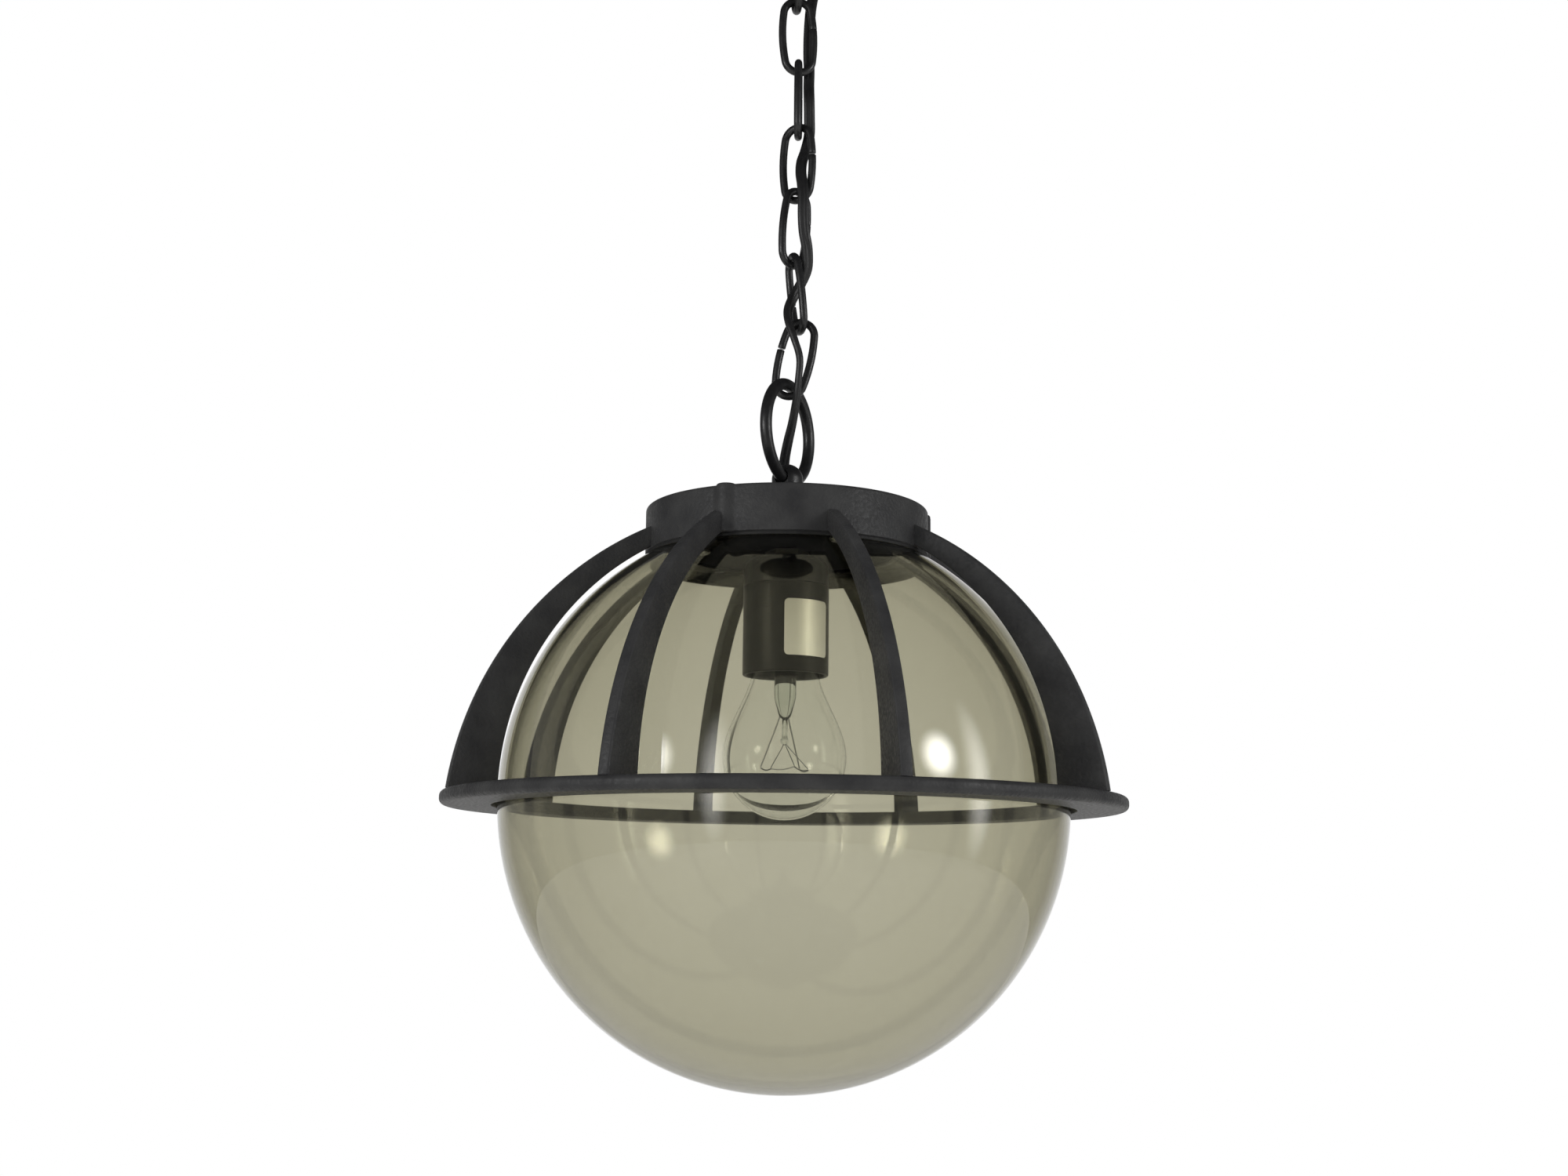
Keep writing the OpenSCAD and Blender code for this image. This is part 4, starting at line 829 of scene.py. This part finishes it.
# Bulb
BULB_R, BULB_NECK_R, BULB_WALL, THREAD_MEAN_R = 27.4, 15, 0.8, 12.6
BULB_Z, CAP_Z, GLASS_UNDER, CAP_CLEAR = 19.57, 63.17, 0.1, 0.4
STEM_R, STEM_TIP_R, STEM_LOW, ROD_R, BUTTON_R = 4.9, 3, BULB_Z + 18, 1.2, 1.9
BUTTON_Z, FILAMENT_Z = BULB_Z + 7.5, BULB_Z - 4.5


def bulb_outline(wall, top):
    """The bulb's glass from its pole to its cap: a ball that runs out into the neck on a long soft curve. It
    leaves the ball a little before a straight line to the neck would, and is almost upright at the neck"""
    early, ball_pull, neck_pull, neck_lean, steps = 9, 0.36, 0.3, 0.1, 16
    r = BULB_R - wall
    neck = Vector((BULB_NECK_R - wall, SKIRT_Z + 1 - BULB_Z))
    leave = math.degrees(math.atan2(neck.y, neck.x)) - math.degrees(math.acos(r / neck.length)) - early
    ball = arc((0, BULB_Z), r, -90, leave, 60)
    a, heading = Vector(ball[-1]), Vector(polar(1, leave + 90))
    b, up = Vector((neck.x, neck.y + BULB_Z)), Vector((-neck_lean, 1))
    reach = (b - a).length
    curve = []
    for k in range(1, steps + 1):
        t = k / steps
        curve.append(tuple((1 - t) ** 3 * a + 3 * (1 - t) ** 2 * t * (a + heading * reach * ball_pull)
                           + 3 * (1 - t) * t ** 2 * (b - up * reach * neck_pull) + t ** 3 * b))
    return ball + curve + [(THREAD_MEAN_R - wall - CAP_CLEAR, top)]


glass_top, inner_top = CAP_Z - GLASS_UNDER, CAP_Z - BULB_WALL
outside, inside = bulb_outline(0, glass_top), bulb_outline(BULB_WALL, inner_top)
envelope = outside + [(STEM_R + SEAT, glass_top), (STEM_R + SEAT, inner_top)] + inside[::-1]
mount(meshed("bulb_envelope", at_lamp(turned(envelope)), bulb_clear, 50), "bulb", "clear_glass", "bulb_glass")
# The stem: a button that holds the supports, a thin rod, and the flare that closes the bulb
stem = ([(0, BUTTON_Z - BUTTON_R)] + arc((0, BUTTON_Z), BUTTON_R, -75, 50, 10)
        + [(ROD_R, BUTTON_Z + 3), (ROD_R, STEM_LOW - 1), (STEM_TIP_R * 0.8, STEM_LOW),
           (STEM_TIP_R, STEM_LOW + 1.5), (STEM_R - 0.9, STEM_LOW + 5), (STEM_R, STEM_LOW + 9),
           (STEM_R, CAP_Z + 3), (0, CAP_Z + 3)])
mount(meshed("bulb_stem_glass", at_lamp(turned(stem, 48)), stem_clear, 60), "bulb", "clear_glass",
      "bulb_stem")

# Leads and supports, which carry the filament at points that zigzag round an open ring
LEAD_OUT, LEAD_R, SUPPORT_R = 10.5, 0.35, 0.2
HOOKS, HOOK_FIRST, HOOK_SPAN = 5, -92, 232
COIL_R, COIL_PITCH, COIL_WIRE_R, COIL_SAG = 0.24, 0.42, 0.075, 0.8
hooks = []
for k in range(HOOKS):
    a = math.radians(HOOK_FIRST + HOOK_SPAN * k / (HOOKS - 1))
    hooks.append(Vector((LEAD_OUT * math.sin(a), -LEAD_OUT * math.cos(a), FILAMENT_Z - k % 2 + LAMP)))


def lead_line(point, r, z):
    """A wire's line: from inside the stem, with a short dip, straight out to just above a filament point"""
    top = Vector((point.x, point.y, 0)).normalized() * r + Vector((0, 0, z + LAMP))
    low = point + Vector((0, 0, 0.5))
    return [top, top.lerp(low, 0.12) + Vector((0, 0, -0.4)), top.lerp(low, 0.9), low]


for name, ends, r, z, wire_r, facets in (
        ("lead_pair", (0, HOOKS - 1), 2.3, STEM_LOW + 0.3, LEAD_R, 12),
        ("filament_supports", range(1, HOOKS - 1), 0.9, BUTTON_Z - 1.5, SUPPORT_R, 10)):
    wires = wired(name, [lead_line(hooks[k], r, z) for k in ends], wire_r, lead_wire, facets)
    mount(wires, "bulb", "tungsten", "bulb_leads")


def coil_line(points, r, pitch, steps=7):
    """A helix of small turns along a line of points, which sags between them"""
    line, turn = [], 0
    for a, b in zip(points, points[1:]):
        ahead = (b - a).normalized()
        side = ahead.cross(Vector((0, 0, 1))).normalized()
        up = side.cross(ahead)
        count = max(2, round((b - a).length / pitch * steps))
        for k in range(count):
            x, y = polar(r, turn)
            sag = Vector((0, 0, -COIL_SAG * math.sin(math.pi * k / count)))
            line.append(a.lerp(b, k / count) + sag + side * x + up * y)
            turn += 360 / steps
    return line


filament = wired("filament_coil", [coil_line(hooks, COIL_R, COIL_PITCH)], COIL_WIRE_R, tungsten, 6)
mount(filament, "bulb", "tungsten", "bulb_filament")

# The CAD pieces that keep their own shape, each with its finish
for node, surface in {
        "ceiling_bracket": zinc, "canopy_nut": zinc, "eye_nut": zinc, "plate_posts": zinc,
        "holder_nipple": zinc, "nipple_nut": zinc, "gallery_screws": zinc, "terminal_block": polyamide,
        "cord_grip": polyamide, "terminal_screws": brass, "holder_terminals": brass,
        "centre_contact": brass, "gallery_ring": cast_aluminium, "holder_core": porcelain,
        "screw_shell": brass, "bulb_cap": nickel, "bulb_insulator": vitrite, "bulb_contact": solder,
        "inner_wires": silicone}.items():
    shape = frame["nodes"][node].data
    shape.materials.clear()
    shape.materials.append(surface)

# Studio: a pale floor well below the lamp, two round soft lamps and two tall oval ones
FLOOR_Z, FLOOR_R, FLOOR_T = -950, 1600, 10
matt_floor = grained("pale matt floor", ("#e9e8e4", "#efeeeb"), 300, 3, 0.02, (0.8, 0.9))
slab = turned([(0, FLOOR_Z - FLOOR_T), (FLOOR_R, FLOOR_Z - FLOOR_T), (FLOOR_R, FLOOR_Z), (0, FLOOR_Z)], 96)
floor = meshed("floor", [slab], matt_floor)
LIT_POINT = (0, 0, -420)


def soft_lamp(name, at, size, power):
    """A round or oval lamp that looks at the globe and fades to nothing at its edge, so that gloss shows it
    without an outline. Its Parametric coordinates run from 0 to 1 both ways, and are drawn out to -1 to 1"""
    lamp = bpy.data.lights.new(name, "AREA")
    lamp.shape, lamp.size, lamp.size_y, lamp.energy = "ELLIPSE", size[0] * MM, size[1] * MM, power
    lamp.use_nodes = True
    tree = lamp.node_tree
    tree.nodes.clear()
    spot = add(tree, "ShaderNodeVectorMath", {0: add(tree, "ShaderNodeNewGeometry").outputs["Parametric"],
                                              1: (2, 2, 0), 2: (-1, -1, 0)}, operation="MULTIPLY_ADD")
    away = add(tree, "ShaderNodeVectorMath", {0: spot.outputs[0]}, operation="LENGTH")
    fade = add(tree, "ShaderNodeMapRange", {"Value": away.outputs["Value"], "To Min": 1, "To Max": 0},
               interpolation_type="SMOOTHSTEP")
    glow = add(tree, "ShaderNodeEmission", {"Color": tone("#ffffff"), "Strength": fade.outputs[0]})
    add(tree, "ShaderNodeOutputLight", {"Surface": glow.outputs[0]})
    stand = bpy.data.objects.new(name, lamp)
    stand.location = Vector(at) * MM
    stand.rotation_mode = "QUATERNION"
    stand.rotation_quaternion = (Vector(LIT_POINT) - Vector(at)).to_track_quat("-Z", "Y")
    bpy.context.scene.collection.objects.link(stand)


soft_lamp("left_lamp", (-1150, -930, -150), (560, 560), 18)
soft_lamp("right_lamp", (1230, -700, -110), (480, 480), 13)
soft_lamp("left_window", (-660, -1350, -300), (360, 1500), 7)
soft_lamp("right_window", (1460, -310, -300), (420, 1500), 8)

# The world. The camera sees it plain white, also through glass. What is glossy mirrors a room instead, white
# only behind the light and dim elsewhere, most of all above. It lights matt surfaces evenly
ROOM_SIDES, ROOM_TOP, AMBIENT = 0.2, 0.1, 0.75
world = bpy.data.worlds.new("white studio")
world.use_nodes = True
sky = world.node_tree
sky.nodes.clear()
rays = add(sky, "ShaderNodeLightPath").outputs
way = add(sky, "ShaderNodeSeparateXYZ", {0: add(sky, "ShaderNodeTexCoord").outputs["Generated"]}).outputs
room = add(sky, "ShaderNodeMapRange", {"Value": way["Y"], "From Min": 0.75, "From Max": 1.0,
                                       "To Min": ROOM_SIDES})
above = add(sky, "ShaderNodeMapRange", {"Value": way["Z"], "From Min": 0.2, "From Max": 0.6, "To Min": 1,
                                        "To Max": ROOM_TOP})
seen = add(sky, "ShaderNodeMath", {0: room.outputs[0], 1: above.outputs[0]}, operation="MULTIPLY")
ambient = add(sky, "ShaderNodeMix", {0: rays["Is Glossy Ray"], 2: AMBIENT, 3: seen.outputs[0]})
straight = add(sky, "ShaderNodeMath", {0: rays["Is Camera Ray"], 1: rays["Is Transmission Ray"]},
               operation="MAXIMUM")
level = add(sky, "ShaderNodeMix", {0: straight.outputs[0], 2: ambient.outputs[0], 3: 1.0})
glow = add(sky, "ShaderNodeBackground", {"Color": tone("#ffffff"), "Strength": level.outputs[0]})
add(sky, "ShaderNodeOutputWorld", {"Surface": glow.outputs[0]})
bpy.context.scene.world = world
bpy.context.scene.view_settings.view_transform = "Standard"
